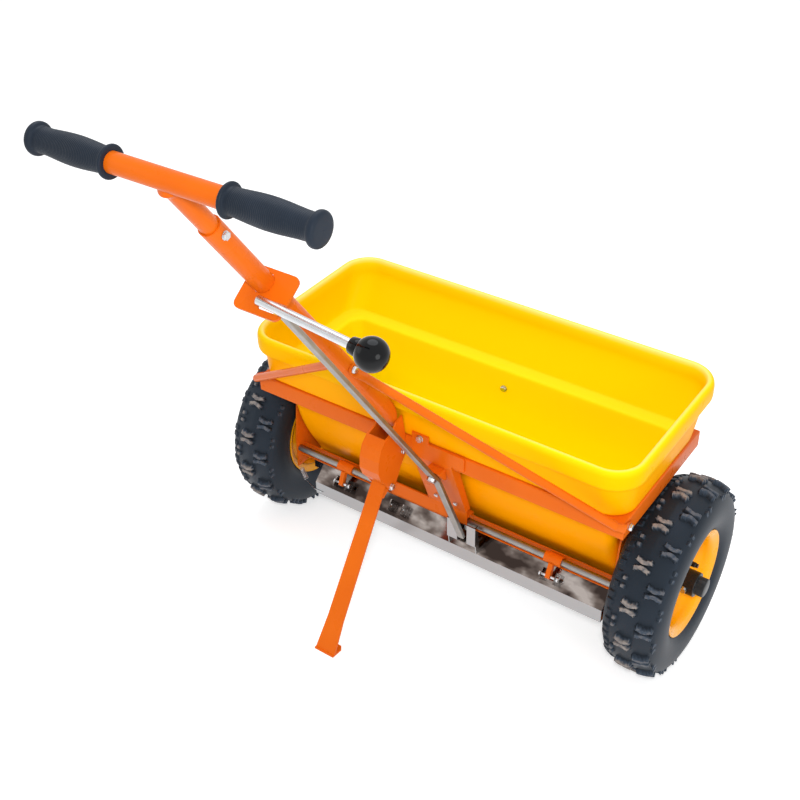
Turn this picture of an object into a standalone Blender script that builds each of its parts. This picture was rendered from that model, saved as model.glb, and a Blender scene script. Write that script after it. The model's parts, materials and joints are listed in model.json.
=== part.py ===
"""Walk-behind drop spreader, in metres, +Z up, standing on its two wheels and its stand.

Every piece is drawn in the machine's own frame (x to the operator's right, y forward,
z up from the wheels' lowest point, axle over y = 0) and hangs under one root empty that
leans the machine back on its stand.
"""
import math

import bmesh
import bpy
import numpy as np
from mathutils import Matrix, Vector

for leftover in list(bpy.data.objects):
    bpy.data.objects.remove(leftover, do_unlink=True)

# Fits
contact = 0.0003
slip = 0.0003

# Wheels
tyre_radius = 0.165
tyre_half_width = 0.0515
wheel_gap = 0.0025
lug_height = 0.0078
lug_pitches = 18
axle_radius = 0.010
hub_seat = 0.0123
hub_length = 0.0477
hub_cap_length = 0.014
hub_cap_wall = 0.004
hub_pin_inset = 0.0187
hub_radius = 0.020
hub_cap_radius = 0.0152
bolt_radius = 0.003
small_bolt_radius = 0.0025
valve_offset = 0.047

# Ring frame round the hopper
ring_overhang = 0.027
ring_rear = -0.1365
ring_front = 0.1235
ring_top = 0.356
ring_leg = 0.030
ring_flange = 0.025
ring_wall = 0.003

# Side plates
plate_inner = 0.309
plate_wall = 0.003
plate_rear = -0.089
plate_narrow = 0.017
plate_bottom = 0.138
bush_radius = 0.0155

# Bottom rails and guide rods
rail_leg = 0.020
rail_flange = 0.012
rail_wall = 0.002
rail_rear = -0.080
rail_bottom = 0.160
guide_y = -0.082
guide_z = 0.176
guide_radius = 0.006

# Hopper
lip_overhang = 0.010
lip_rear = -0.152
lip_front = 0.170
lip_top = 0.4465
hopper_bolt_x = 0.006
hopper_bolt_z = 0.327

# Trough and metering tray
trough_half_width = 0.0465
trough_bottom = 0.1085
trough_top = 0.150
tray_left_room = 0.046
tray_right_room = 0.0075
tray_depth = 0.1005
tray_bottom = 0.105
strip_top = 0.1308
mirror_inner = 0.0708
mirror_top = 0.1574
tray_wall = 0.0016
drop_width = 0.006
drop_length = 0.020
drop_pitch = 0.080
drop_count = 7
agitator_room = 0.039
hanger_x = 0.205
hanger_half = 0.015
finger_half = 0.004
clip_offset = 0.001
clip_half = 0.0135
clip_height = 0.021
clip_wall = 0.0018
clip_bolt_height = 0.014
middle_clip_x = -0.088

# Handle
handle_x = -0.056
handle_tilt = math.radians(55.1)
handle_radius = 0.0145
handle_bore = 0.0125
handle_foot = (-0.1842, 0.4464)
bar_y = -0.5315
bar_half = 0.205
bar_offset = 0.0050
bar_radius = 0.0126
grip_inner = 0.0827
grip_flange = 0.0198
tube_top_z = 0.8665
handle_bolt_drop = 0.0122
brace_bolt_z = 0.5487
guide_plate_z = 0.7531
guide_plate_wall = 0.004

# Handle and stand bracket
bracket_half = 0.018
bracket_wall = 0.003
stand_pivot = (-0.1785, 0.2810)
stand_foot = (-0.3480, 0.0444)
stand_wall = 0.0035
brace_radius = 0.0065
brace_bolt_inset = 0.012
brace_bolt_drop = 0.0115

# Control lever
lever_pivot = (0.022, -0.150, 0.308)
lever_end = (0.048, -0.107, 0.163)
lever_width = 0.013
lever_wall = 0.007
lever_cross = (0.0386, -0.0258)
rod_radius = 0.0063
rod_lift = 0.0124
rod_start = (0.012, -0.0261)
ball_place = (0.1896, -0.0396)
ball_radius = 0.0212

# Lean of the whole machine on its stand
lean = math.radians(7.5)

# Widths that follow the side plates
ring_half = plate_inner + ring_overhang
lip_half = ring_half + lip_overhang
track_half = plate_inner + plate_wall + wheel_gap + tyre_half_width
hub_inner_end = track_half + hub_seat
hub_reach = hub_inner_end + hub_length
hub_step = hub_reach - hub_cap_length
hub_pin_x = hub_inner_end + hub_pin_inset
axle_half = hub_reach - hub_cap_wall - 0.0005

handle_bolt_z = tube_top_z - handle_bolt_drop
up_tube = Vector((0.0, -math.cos(handle_tilt), math.sin(handle_tilt)))
off_tube = Vector((0.0, math.sin(handle_tilt), math.cos(handle_tilt)))


# Solids are pairs of a vertex list and a face list
def merge(*solids):
    points = []
    faces = []
    for solid in solids:
        start = len(points)
        points.extend(solid[0])
        faces.extend([tuple(i + start for i in face) for face in solid[1]])
    return points, faces


def moved(solid, matrix):
    return [tuple(matrix @ Vector(p)) for p in solid[0]], solid[1]


def mirrored_y(solid):
    return [(x, -y, z) for x, y, z in solid[0]], [tuple(reversed(f)) for f in solid[1]]


def loft(rings, closed=False):
    count = len(rings[0])
    points = [tuple(p) for ring in rings for p in ring]
    faces = []
    last = len(rings) if closed else len(rings) - 1
    for k in range(last):
        a = k * count
        b = ((k + 1) % len(rings)) * count
        for i in range(count):
            j = (i + 1) % count
            faces.append((a + i, a + j, b + j, b + i))
    if not closed:
        faces.append(tuple(range(count - 1, -1, -1)))
        faces.append(tuple(range((len(rings) - 1) * count, len(rings) * count)))
    return points, faces


def prism(outline, axis, low, high):
    if axis == "x":
        rings = [[(v, a, b) for a, b in outline] for v in (low, high)]
    elif axis == "y":
        rings = [[(a, v, b) for a, b in outline] for v in (low, high)]
    else:
        rings = [[(a, b, v) for a, b in outline] for v in (low, high)]
    return loft(rings)


def box(low, high):
    outline = [(low[0], low[1]), (high[0], low[1]), (high[0], high[1]), (low[0], high[1])]
    return prism(outline, "z", low[2], high[2])


def axis_matrix(origin, direction):
    turn = Vector(direction).to_track_quat("Z", "Y").to_matrix().to_4x4()
    return Matrix.Translation(Vector(origin)) @ turn


def lathe(profile, origin, direction, segments=24, phase=0.0):
    """A closed profile of (distance along the axis, radius) pairs turned round the axis."""
    points = []
    rings = []
    for along, radius in profile:
        if radius < 1e-6:
            rings.append([len(points)] * segments)
            points.append((0.0, 0.0, along))
            continue
        ring = []
        for i in range(segments):
            angle = phase + 2.0 * math.pi * i / segments
            ring.append(len(points))
            points.append((radius * math.cos(angle), radius * math.sin(angle), along))
        rings.append(ring)
    faces = []
    for k in range(len(rings)):
        a = rings[k]
        b = rings[(k + 1) % len(rings)]
        for i in range(segments):
            j = (i + 1) % segments
            face = []
            for index in (a[i], a[j], b[j], b[i]):
                if index not in face:
                    face.append(index)
            if len(face) > 2:
                faces.append(tuple(face))
    return moved((points, faces), axis_matrix(origin, direction))


def rod(start, end, radius, segments=20):
    along = Vector(end) - Vector(start)
    profile = [(0.0, 0.0), (0.0, radius), (along.length, radius), (along.length, 0.0)]
    return lathe(profile, start, along, segments)


def tube(start, end, outer, inner, segments=24):
    along = Vector(end) - Vector(start)
    profile = [(0.0, inner), (0.0, outer), (along.length, outer), (along.length, inner)]
    return lathe(profile, start, along, segments)


def bolt(seat, direction, shank, radius=bolt_radius, head=None, height=None, nut=None):
    """Head on the seat, shank running along the direction, and a nut at a distance if asked."""
    head = head or radius * 1.9
    height = height or radius * 1.3
    profile = [(-height, 0.0), (-height, head * 0.9), (0.0, head), (0.0, radius)]
    if nut is None:
        profile += [(shank, radius), (shank, 0.0)]
    else:
        profile += [(nut, radius), (nut, head), (nut + height, head * 0.9), (nut + height, 0.0)]
    return lathe(profile, seat, direction, 10)


def sheet(line, wall):
    """A folded sheet's closed outline: the line and the same line set off to its left."""
    line = [Vector(p) for p in line]
    steps = [(b - a).normalized() for a, b in zip(line, line[1:])]
    sides = [Vector((-s.y, s.x)) for s in steps]
    inner = [line[0] + sides[0] * wall]
    for before, after, point in zip(sides, sides[1:], line[1:-1]):
        middle = (before + after).normalized()
        inner.append(point + middle * (wall / middle.dot(before)))
    inner.append(line[-1] + sides[-1] * wall)
    return [tuple(p) for p in line] + [tuple(p) for p in reversed(inner)]


def rounded(corners, radius, steps=4):
    """A convex outline with each corner rounded."""
    points = []
    count = len(corners)
    for i in range(count):
        here = Vector(corners[i])
        back = (Vector(corners[i - 1]) - here).normalized()
        ahead = (Vector(corners[(i + 1) % count]) - here).normalized()
        half = back.angle(ahead) / 2.0
        run = radius / math.tan(half)
        centre = here + (back + ahead).normalized() * (radius / math.sin(half))
        first = here + back * run - centre
        second = here + ahead * run - centre
        turn = first.angle_signed(second)
        for k in range(steps + 1):
            angle = -turn * k / steps
            spin = Matrix.Rotation(angle, 2)
            points.append(tuple(centre + spin @ first))
    return points


def as_object(solid):
    mesh = bpy.data.meshes.new("work")
    shell = bmesh.new()
    corners = [shell.verts.new(p) for p in solid[0]]
    for face in solid[1]:
        shell.faces.new([corners[i] for i in face])
    bmesh.ops.recalc_face_normals(shell, faces=shell.faces)
    shell.to_mesh(mesh)
    shell.free()
    thing = bpy.data.objects.new("work", mesh)
    bpy.context.scene.collection.objects.link(thing)
    return thing


def boolean(solid, tools, operation):
    target = as_object(solid)
    tool = as_object(merge(*tools))
    tool.hide_render = True
    tool.display_type = "WIRE"
    step = target.modifiers.new("cut", "BOOLEAN")
    step.operation = operation
    step.solver = "EXACT"
    step.object = tool
    bpy.context.view_layer.update()
    result = target.evaluated_get(bpy.context.evaluated_depsgraph_get()).to_mesh()
    points = [tuple(v.co) for v in result.vertices]
    faces = [tuple(f.vertices) for f in result.polygons]
    bpy.data.objects.remove(target, do_unlink=True)
    bpy.data.objects.remove(tool, do_unlink=True)
    return points, faces


def cut(solid, *tools):
    return boolean(solid, tools, "DIFFERENCE")


def join(solid, *tools):
    for tool in tools:
        solid = boolean(solid, [tool], "UNION")
    return solid


def material(name, colour, metallic, roughness):
    made = bpy.data.materials.new(name)
    made.use_nodes = True
    shader = made.node_tree.nodes["Principled BSDF"]
    shader.inputs["Base Color"].default_value = (*colour, 1.0)
    shader.inputs["Metallic"].default_value = metallic
    shader.inputs["Roughness"].default_value = roughness
    made.diffuse_color = (*colour, 1.0)
    return made


hopper_yellow = material("hopper_yellow", (1.0, 0.72, 0.0), 0.0, 0.35)
frame_orange = material("frame_orange", (0.83, 0.12, 0.005), 0.0, 0.35)
rim_yellow = material("rim_yellow", (1.0, 0.48, 0.0), 0.0, 0.35)
tyre_black = material("tyre_black", (0.015, 0.018, 0.022), 0.0, 0.75)
grip_black = material("grip_black", (0.02, 0.03, 0.045), 0.0, 0.5)
ball_black = material("ball_black", (0.01, 0.012, 0.016), 0.0, 0.12)
hub_black = material("hub_black", (0.012, 0.014, 0.017), 0.0, 0.35)
stainless = material("stainless", (0.70, 0.71, 0.72), 1.0, 0.12)
zinc = material("zinc", (0.72, 0.72, 0.73), 1.0, 0.30)
axle_steel = material("axle_steel", (0.55, 0.55, 0.56), 1.0, 0.35)
bush_bronze = material("bush_bronze", (0.55, 0.38, 0.18), 1.0, 0.4)


def empty(name, place, parent=None):
    made = bpy.data.objects.new(name, None)
    made.empty_display_size = 0.03
    made.location = place
    made.parent = parent
    bpy.context.scene.collection.objects.link(made)
    return made


# The rear of the machine is the grips' flange, the front is the tyre
lean_sin = math.sin(lean)
lean_cos = math.cos(lean)
bar_z = handle_foot[1] + (handle_foot[0] - bar_y) * math.tan(handle_tilt)
rear_reach = bar_y * lean_cos - (bar_z - tyre_radius) * lean_sin - grip_flange
shift = -(rear_reach + tyre_radius) / 2.0

machine = empty("machine", (0.0, shift + tyre_radius * lean_sin, tyre_radius * (1.0 - lean_cos)))
machine.rotation_euler = (lean, 0.0, 0.0)
axle_place = (0.0, 0.0, tyre_radius)
stand_place = (handle_x, stand_pivot[0], stand_pivot[1])
tray_place = (0.0, -tray_depth, strip_top)
places = {
    "frame": (0.0, 0.0, 0.0), "drive_axle": axle_place, "wheel_left": axle_place,
    "lever": lever_pivot, "shutter": tray_place, "stand": stand_place,
}
bodies = {name: empty("body_" + name, place, machine) for name, place in places.items()}


def piece(name, body, paint, *solids, angle=32.0):
    """One named node: closed solids in the machine frame, hung under their body's empty."""
    origin = Vector(places[body])
    points, faces = merge(*solids)
    shell = bmesh.new()
    corners = [shell.verts.new(Vector(p) - origin) for p in points]
    for face in faces:
        shell.faces.new([corners[i] for i in face])
    bmesh.ops.remove_doubles(shell, verts=shell.verts, dist=1e-6)
    bmesh.ops.dissolve_degenerate(shell, dist=1e-6, edges=shell.edges)
    bmesh.ops.recalc_face_normals(shell, faces=shell.faces)
    mesh = bpy.data.meshes.new(name)
    shell.to_mesh(mesh)
    shell.free()
    mesh.materials.append(paint)
    mesh.shade_smooth()
    mesh.set_sharp_from_angle(angle=math.radians(angle))
    made = bpy.data.objects.new(name, mesh)
    made.parent = bodies[body]
    bpy.context.scene.collection.objects.link(made)
    return made


def on_handle(z):
    """A point on the handle tube's axis at a height."""
    return Vector((handle_x, handle_foot[0] - (z - handle_foot[1]) / math.tan(handle_tilt), z))


# Hopper: rounded sections up the outside, over the lip and down the inside
def section(z, beyond, rear, front, radius):
    half = plate_inner + beyond
    corners = [(half, rear), (half, front), (-half, front), (-half, rear)]
    return [(x, y, z) for x, y in rounded(corners, radius, 4)]


outside = [
    (0.130, -0.0090, -0.0260, 0.0260, 0.004),
    (0.166, -0.0078, -0.0470, 0.0460, 0.010),
    (0.209, -0.0064, -0.0710, 0.0670, 0.014),
    (0.250, -0.0050, -0.0890, 0.0830, 0.018),
    (0.295, -0.0035, -0.1000, 0.0900, 0.021),
    (0.3525, -0.0020, -0.1090, 0.0960, 0.023),
    (ring_top + contact, 0.0000, -0.1105, 0.0975, 0.024),
    (ring_top + contact, 0.0235, -0.1330, 0.1200, 0.036),
    (0.3600, 0.0255, -0.1350, 0.1220, 0.038),
    (0.4140, 0.0275, -0.1425, 0.1585, 0.045),
    (0.4135, 0.0335, -0.1505, 0.1685, 0.050),
    (0.4160, lip_half - plate_inner, lip_rear, lip_front, 0.052),
    (0.4350, lip_half - plate_inner, lip_rear, lip_front, 0.052),
    (0.4435, 0.0345, -0.1492, 0.1672, 0.049),
    (lip_top, 0.0300, -0.1450, 0.1630, 0.045),
    (0.4435, 0.0255, -0.1405, 0.1585, 0.041),
    (0.4360, 0.0238, -0.1385, 0.1560, 0.040),
]
inside = [
    (0.4140, 0.0235, -0.1385, 0.1540, 0.040),
    (0.3640, 0.0215, -0.1312, 0.1185, 0.034),
    (0.3600, 0.0190, -0.1288, 0.1165, 0.032),
    (0.3600, -0.0025, -0.1070, 0.0955, 0.021),
    (0.3525, -0.0055, -0.1052, 0.0924, 0.020),
    (0.295, -0.0070, -0.0962, 0.0862, 0.018),
    (0.250, -0.0085, -0.0853, 0.0793, 0.015),
    (0.209, -0.0099, -0.0670, 0.0630, 0.011),
    (0.166, -0.0113, -0.0430, 0.0420, 0.008),
    (0.130, -0.0125, -0.0222, 0.0222, 0.003),
]
hopper = loft([section(*row) for row in outside + inside], closed=True)
hopper_bores = [rod((side * (plate_inner - 0.019), 0.0, tyre_radius),
                    (side * (plate_inner - 0.003), 0.0, tyre_radius),
                    axle_radius + 0.002, 24) for side in (-1, 1)]
hopper_bores.append(rod((hopper_bolt_x, 0.080, hopper_bolt_z), (hopper_bolt_x, 0.115, hopper_bolt_z),
                        bolt_radius + slip, 12))
ear = Vector((-0.009, ring_rear - contact - 0.003, ring_top + 0.0075))
hopper_bores.append(rod(ear, ear + Vector((0.0, 0.020, 0.0)), bolt_radius + slip, 12))
piece("hopper", "frame", hopper_yellow, cut(hopper, *hopper_bores))
piece("hopper_bolt", "frame", zinc,
      bolt((hopper_bolt_x, 0.0878, hopper_bolt_z), (0, 1, 0), 0.02, nut=0.0105))


# Ring frame
def angle_outline(corner, side):
    """An angle section: one leg down from the top corner and one flange inward."""
    low = ring_top - ring_leg
    under = ring_top - ring_wall
    return [(corner, low), (corner + side * ring_wall, low), (corner + side * ring_wall, under),
            (corner + side * ring_flange, under), (corner + side * ring_flange, ring_top),
            (corner, ring_top)]


brace_bolt_y = ring_rear + brace_bolt_inset
brace_bolt_z_low = ring_top - brace_bolt_drop
piece("ring_rail_rear", "frame", frame_orange,
      prism(angle_outline(ring_rear, 1), "x", -ring_half, ring_half))
piece("ring_rail_front", "frame", frame_orange,
      prism(angle_outline(ring_front, -1), "x", -ring_half, ring_half))
for side, name in ((-1, "ring_rail_left"), (1, "ring_rail_right")):
    side_rail = prism(angle_outline(side * ring_half, -side), "y",
                      ring_rear + ring_wall + contact, ring_front - ring_wall - contact)
    notch_z = ring_top - ring_wall - contact
    rear_notch = box((-ring_half - 0.01, ring_rear - 0.01, notch_z),
                     (ring_half + 0.01, ring_rear + ring_flange + contact, ring_top + 0.01))
    front_notch = box((-ring_half - 0.01, ring_front - ring_flange - contact, notch_z),
                      (ring_half + 0.01, ring_front + 0.01, ring_top + 0.01))
    corner_hole = rod((side * (ring_half - 0.010), brace_bolt_y, brace_bolt_z_low),
                      (side * (ring_half + 0.005), brace_bolt_y, brace_bolt_z_low),
                      bolt_radius + slip, 12)
    piece(name, "frame", frame_orange, cut(side_rail, rear_notch, front_notch, corner_hole))

# Side plates with an outward tab under the ring, holding bushes and rod ends
tab_top = ring_top - ring_wall - contact
for side, name in ((-1, "side_plate_left"), (1, "side_plate_right")):
    fold = [(side * plate_inner, plate_bottom), (side * plate_inner, tab_top),
            (side * (ring_half - ring_wall - contact), tab_top),
            (side * (ring_half - ring_wall - contact), tab_top - plate_wall),
            (side * (plate_inner + plate_wall), tab_top - plate_wall),
            (side * (plate_inner + plate_wall), plate_bottom)]
    plate = prism(fold, "y", plate_rear, -plate_rear)
    wedge = prism([(plate_rear - 0.01, 0.200), (plate_rear, 0.200), (plate_rear + plate_narrow, 0.320),
                   (plate_rear + plate_narrow, 0.370), (plate_rear - 0.01, 0.370)], "x", -0.4, 0.4)
    plate = cut(plate, wedge, mirrored_y(wedge))
    near = side * (plate_inner - 0.009)
    far = side * (plate_inner + plate_wall + 0.009)
    bore = rod((near, 0.0, tyre_radius), (far, 0.0, tyre_radius), bush_radius + contact, 24)
    hook = rod((near, plate_rear + 0.0055, plate_bottom + 0.0075),
               (far, plate_rear + 0.0055, plate_bottom + 0.0075), 0.003, 12)
    piece(name, "frame", frame_orange, cut(plate, bore, hook))
    bush_in = plate_inner - 0.0055
    collar_in = plate_inner + plate_wall + contact
    bush = [(bush_in, axle_radius + slip), (bush_in, bush_radius), (collar_in, bush_radius),
            (collar_in, bush_radius + 0.0055), (collar_in + 0.003, bush_radius + 0.0055),
            (collar_in + 0.003, axle_radius + slip)]
    piece("axle_bush_" + name.split("_")[-1], "frame", bush_bronze,
          lathe(bush, (0, 0, tyre_radius), (side, 0, 0), 24))

# Bottom rails and guide rods between the side plates
rail_end = plate_inner - contact
rail_line = [(rail_rear, rail_bottom), (rail_rear + rail_flange, rail_bottom),
             (rail_rear + rail_flange, rail_bottom + rail_leg)]
bottom_rail = prism(sheet(rail_line, rail_wall), "x", -rail_end, rail_end)
guide_rod = rod((-rail_end, guide_y, guide_z), (rail_end, guide_y, guide_z), guide_radius, 16)
piece("bottom_rail_rear", "frame", frame_orange, bottom_rail)
piece("bottom_rail_front", "frame", frame_orange, mirrored_y(bottom_rail))
piece("guide_rod_rear", "frame", zinc, guide_rod)
piece("guide_rod_front", "frame", zinc, mirrored_y(guide_rod))

# The tray's leaning plate, its direction and outward normal
lean_run = Vector((0.0, tray_depth - mirror_inner, mirror_top - strip_top)).normalized()
lean_out = Vector((0.0, -lean_run.z, lean_run.y))
clip_seat = Vector((0.0, -tray_depth, strip_top)) + lean_run * 0.016
clip_pin = clip_seat + lean_out * clip_bolt_height

# Hangers: a sleeve on the rod, a strap down to the rail and a finger to the tray's clip
guide = Vector((0.0, guide_y, guide_z))


def hanger(x):
    sleeve = rod((x - hanger_half, guide_y, guide_z), (x + hanger_half, guide_y, guide_z), 0.0093, 20)
    strap = box((x - hanger_half, guide_y + 0.0063, rail_bottom + rail_wall + contact),
                (x + hanger_half, guide_y + 0.0093, guide_z))
    root = guide + Vector((0.0, -0.0068, -0.0035))
    reach = (clip_pin - root).normalized()
    side = Vector((0.0, reach.z, -reach.y)) * 0.0042
    tip = [clip_pin + reach * 0.0050 * math.cos(a) + side * math.sin(a) * 1.2
           for a in np.linspace(-math.pi / 2.0, math.pi / 2.0, 7)]
    outline = [(p.y, p.z) for p in [root - side] + tip + [root + side]]
    finger = prism(outline, "x", x - finger_half, x + finger_half)
    whole = join(sleeve, strap, finger)
    bore = rod((x - 0.02, guide_y, guide_z), (x + 0.02, guide_y, guide_z), guide_radius + slip, 16)
    eye = rod((x - 0.01, clip_pin.y, clip_pin.z), (x + 0.01, clip_pin.y, clip_pin.z),
              small_bolt_radius + slip * 1.5, 12)
    return cut(whole, bore, eye)


for side, name in ((-1, "left"), (1, "right")):
    solid = hanger(side * hanger_x)
    piece("hanger_rear_" + name, "frame", frame_orange, solid)
    piece("hanger_front_" + name, "frame", frame_orange, mirrored_y(solid))

# Drop slots, one under each of the agitator's discs, in the trough and in the tray
drop_places = [drop_pitch * (k - (drop_count - 1) / 2.0) for k in range(drop_count)]


def drops(low, high):
    return [box((x - drop_width / 2.0, -drop_length / 2.0, low),
                (x + drop_width / 2.0, drop_length / 2.0, high)) for x in drop_places]


# Fixed trough under the hopper's slot
trough_line = [(-trough_half_width, trough_top), (-trough_half_width, trough_bottom),
               (trough_half_width, trough_bottom), (trough_half_width, trough_top)]
trough = prism(sheet(trough_line, tray_wall), "x", -rail_end, rail_end)
piece("trough", "frame", stainless,
      cut(trough, *drops(trough_bottom - 0.001, trough_bottom + tray_wall + 0.001)))

# Sliding tray: bottom, two upright strips and two plates leaning in
tray_line = [(-mirror_inner, mirror_top), (-tray_depth, strip_top), (-tray_depth, tray_bottom),
             (tray_depth, tray_bottom), (tray_depth, strip_top), (mirror_inner, mirror_top)]
tray_left = tray_left_room - plate_inner
tray = prism(sheet(tray_line, tray_wall), "x", tray_left, plate_inner - tray_right_room)
tray = cut(tray, *drops(tray_bottom - 0.001, tray_bottom + tray_wall + 0.001))


# Small clips welded on the tray, each with a cross bolt
def clip(x):
    line = [(-clip_half, clip_height), (-clip_half, 0.0), (clip_half, 0.0), (clip_half, clip_height)]
    solid = prism(sheet(line, clip_wall), "y", -0.010, 0.010)
    turn = Matrix((Vector((1, 0, 0)), lean_run, lean_out)).transposed().to_4x4()
    solid = moved(solid, Matrix.Translation(clip_seat - lean_out * 0.0005 + Vector((x, 0, 0))) @ turn)
    eye = rod((x - 0.03, clip_pin.y, clip_pin.z), (x + 0.03, clip_pin.y, clip_pin.z),
              small_bolt_radius + slip, 12)
    return cut(solid, eye)


def clip_bolt(x):
    seat = (x - clip_half - contact, clip_pin.y, clip_pin.z)
    span = 2.0 * (clip_half + contact)
    return bolt(seat, (1, 0, 0), span, small_bolt_radius, head=0.0045, height=0.003, nut=span)


for side, name in ((-1, "left"), (1, "right")):
    x = side * hanger_x + clip_offset
    tray = join(tray, clip(x), mirrored_y(clip(x)))
    piece("clip_bolt_rear_" + name, "shutter", zinc, clip_bolt(x))
    piece("clip_bolt_front_" + name, "shutter", zinc, mirrored_y(clip_bolt(x)))
piece("shutter_tray", "shutter", stainless, join(tray, clip(middle_clip_x)))

# Hat bracket on the tray that takes the lever's lower end
hat_centre = 0.046
hat_half = 0.027
hat_rear = -0.1057
hat_top = 0.190
notch_centre = lever_end[0] - 0.0005
notch_half = 0.0092
hat_line = [(hat_centre - hat_half, -0.0925), (hat_centre - hat_half, hat_rear),
            (hat_centre + hat_half, hat_rear), (hat_centre + hat_half, -0.0925)]
slope = (mirror_top - strip_top) / (tray_depth - mirror_inner)
seat_low = strip_top + contact * 1.4
under = prism([(-0.120, 0.100), (-0.120, 0.150), (-0.1030, 0.150), (-tray_depth, seat_low),
               (-0.080, seat_low + (tray_depth - 0.080) * slope), (-0.080, 0.100)], "x", 0.0, 0.1)
hat = cut(prism(sheet(hat_line, 0.0018), "z", 0.125, hat_top), under)
hat = cut(hat, box((0.0, -0.0960, 0.160), (0.1, -0.080, 0.2)))
hat = cut(hat, box((notch_centre - notch_half, -0.120, 0.140),
                   (notch_centre + notch_half, -0.1020, 0.180)))
piece("lever_bracket", "shutter", stainless, hat)

# Return spring at the tray's left end: a real coil and a straight wire to the strip
wire_radius = 0.0006
coil_radius = 0.0040
coil_turns = 8
coil_start = Vector((0.0052 - plate_inner, plate_rear, plate_bottom - 0.0035))
coil_end = Vector((0.0145 - plate_inner, plate_rear - 0.0005, tray_bottom + 0.0105))
coil_axis = coil_end - coil_start
side_a = coil_axis.orthogonal().normalized()
side_b = coil_axis.normalized().cross(side_a)
track = []
for k in range(coil_turns * 8 + 1):
    angle = 2.0 * math.pi * k / 8.0
    track.append(coil_start + coil_axis * (k / (coil_turns * 8.0))
                 + (side_a * math.cos(angle) + side_b * math.sin(angle)) * coil_radius)
pitch = coil_axis.length / coil_turns
print("spring: least gap between turns", round(pitch - 2.0 * wire_radius, 5))
wire_low = Vector((tray_left - 0.003, -tray_depth - wire_radius - contact, tray_bottom + 0.0078))
wire_high = wire_low + Vector((0.018, 0.0, 0.0))
track += [coil_end + Vector((0.006, -0.004, -0.0015)), wire_low, wire_high]


def wire(points, radius, sides=6):
    rings = []
    across = None
    for i, point in enumerate(points):
        ahead = (points[min(i + 1, len(points) - 1)] - points[max(i - 1, 0)]).normalized()
        if across is None:
            across = ahead.orthogonal().normalized()
        across = (across - ahead * across.dot(ahead)).normalized()
        third = ahead.cross(across)
        rings.append([point + (across * math.cos(a) + third * math.sin(a)) * radius
                      for a in np.linspace(0.0, 2.0 * math.pi, sides, endpoint=False)])
    return loft(rings)


piece("return_spring", "shutter", zinc, wire(track, wire_radius))

# Handle tube, cut upright at its foot to stand clear of the hopper
low_tube = tube(on_handle(0.345), on_handle(tube_top_z), handle_radius, handle_bore, 24)
clearance = box((-0.1, lip_rear - 0.001, 0.2), (0.0, 0.0, 0.48))
tube_holes = [rod(on_handle(z) - Vector((0.03, 0, 0)), on_handle(z) + Vector((0.03, 0, 0)),
                  bolt_radius + slip, 12) for z in (brace_bolt_z, handle_bolt_z)]
piece("handle_tube", "frame", frame_orange, cut(low_tube, clearance, *tube_holes))

# T-bar: cross tube with a stem that slides down inside the handle tube
stem_top = Vector((handle_x, bar_y, bar_z))
bar_centre = stem_top + Vector((bar_offset, 0, 0))
cross = rod(bar_centre - Vector((bar_half - 0.004, 0, 0)), bar_centre + Vector((bar_half - 0.004, 0, 0)),
            bar_radius, 24)
stem = rod(stem_top, on_handle(handle_bolt_z) - up_tube * 0.030, handle_bore - slip, 24)
bar_bore = rod(bar_centre - Vector((bar_half, 0, 0)), bar_centre + Vector((bar_half, 0, 0)),
               bar_radius - 0.0025, 24)
piece("t_bar", "frame", frame_orange, cut(join(cross, stem), bar_bore, tube_holes[1]))
for side, name in ((-1, "grip_left"), (1, "grip_right")):
    inner = grip_inner
    outer = bar_half
    bore = bar_radius + slip
    shape = [(inner, bore), (inner, grip_flange - 0.0015), (inner + 0.0015, grip_flange),
             (inner + 0.0045, grip_flange - 0.0010), (inner + 0.0065, 0.0155), (inner + 0.055, 0.0175),
             (outer - 0.012, 0.0156), (outer - 0.009, grip_flange - 0.0015),
             (outer - 0.004, grip_flange), (outer, grip_flange - 0.003), (outer, 0.0),
             (outer - 0.0035, 0.0), (outer - 0.0035, bore)]
    piece(name, "frame", grip_black, lathe(shape, bar_centre, (side, 0, 0), 24))

# Guide plate square to the tube, with the lever's slot open at the right
plate_turn = Matrix((Vector((1, 0, 0)), off_tube, up_tube)).transposed().to_4x4()
plate_centre = on_handle(guide_plate_z)
slot_end = 0.009
slot_low = -0.0330
slot_high = -0.0183
right_edge = 0.0463
guide_outline = rounded([(-0.026, -0.0415), (right_edge, -0.0415), (right_edge, 0.0203),
                         (-0.026, 0.0203)], 0.009)
slot_shape = [(0.060, slot_low), (0.060, slot_high), (slot_end + 0.003, slot_high),
              (slot_end, slot_high - 0.003), (slot_end, slot_low + 0.003), (slot_end + 0.003, slot_low)]
half_plate = guide_plate_wall / 2.0
guide_solid = cut(prism(guide_outline, "z", -half_plate, half_plate), prism(slot_shape, "z", -0.01, 0.01),
                  rod((0, 0, -0.01), (0, 0, 0.01), handle_radius + contact, 24))
piece("guide_plate", "frame", frame_orange,
      moved(guide_solid, Matrix.Translation(plate_centre) @ plate_turn))

# Handle and stand bracket: two cheeks joined by a curved web
web = [(-0.1890, 0.3775), (-0.2020, 0.3660), (-0.2090, 0.3480), (-0.2107, 0.3266),
       (-0.2040, 0.3080), (-0.1924, 0.2925)]
cheek = [(-0.1368, 0.3217), (-0.1368, 0.3520), (-0.1400, 0.3720), (-0.1442, 0.3990),
         (-0.1600, 0.3940), (-0.1710, 0.3810)] + web
cheek += [(-0.1850, 0.2790), (-0.1785, 0.2740), (-0.1700, 0.2770), (-0.1633, 0.2831),
          (-0.1506, 0.3052)]
web_inner = [(y + 0.0028, z + 0.001) for y, z in web]
web_inner[-1] = (web[-1][0] + 0.0018, web[-1][1] + 0.0023)
pocket_outline = web_inner + [(-0.196, 0.2700), (-0.190, 0.2600), (-0.120, 0.2600), (-0.120, 0.420),
                              (-0.1862, 0.4200)]
left_x = handle_x - bracket_half
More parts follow.
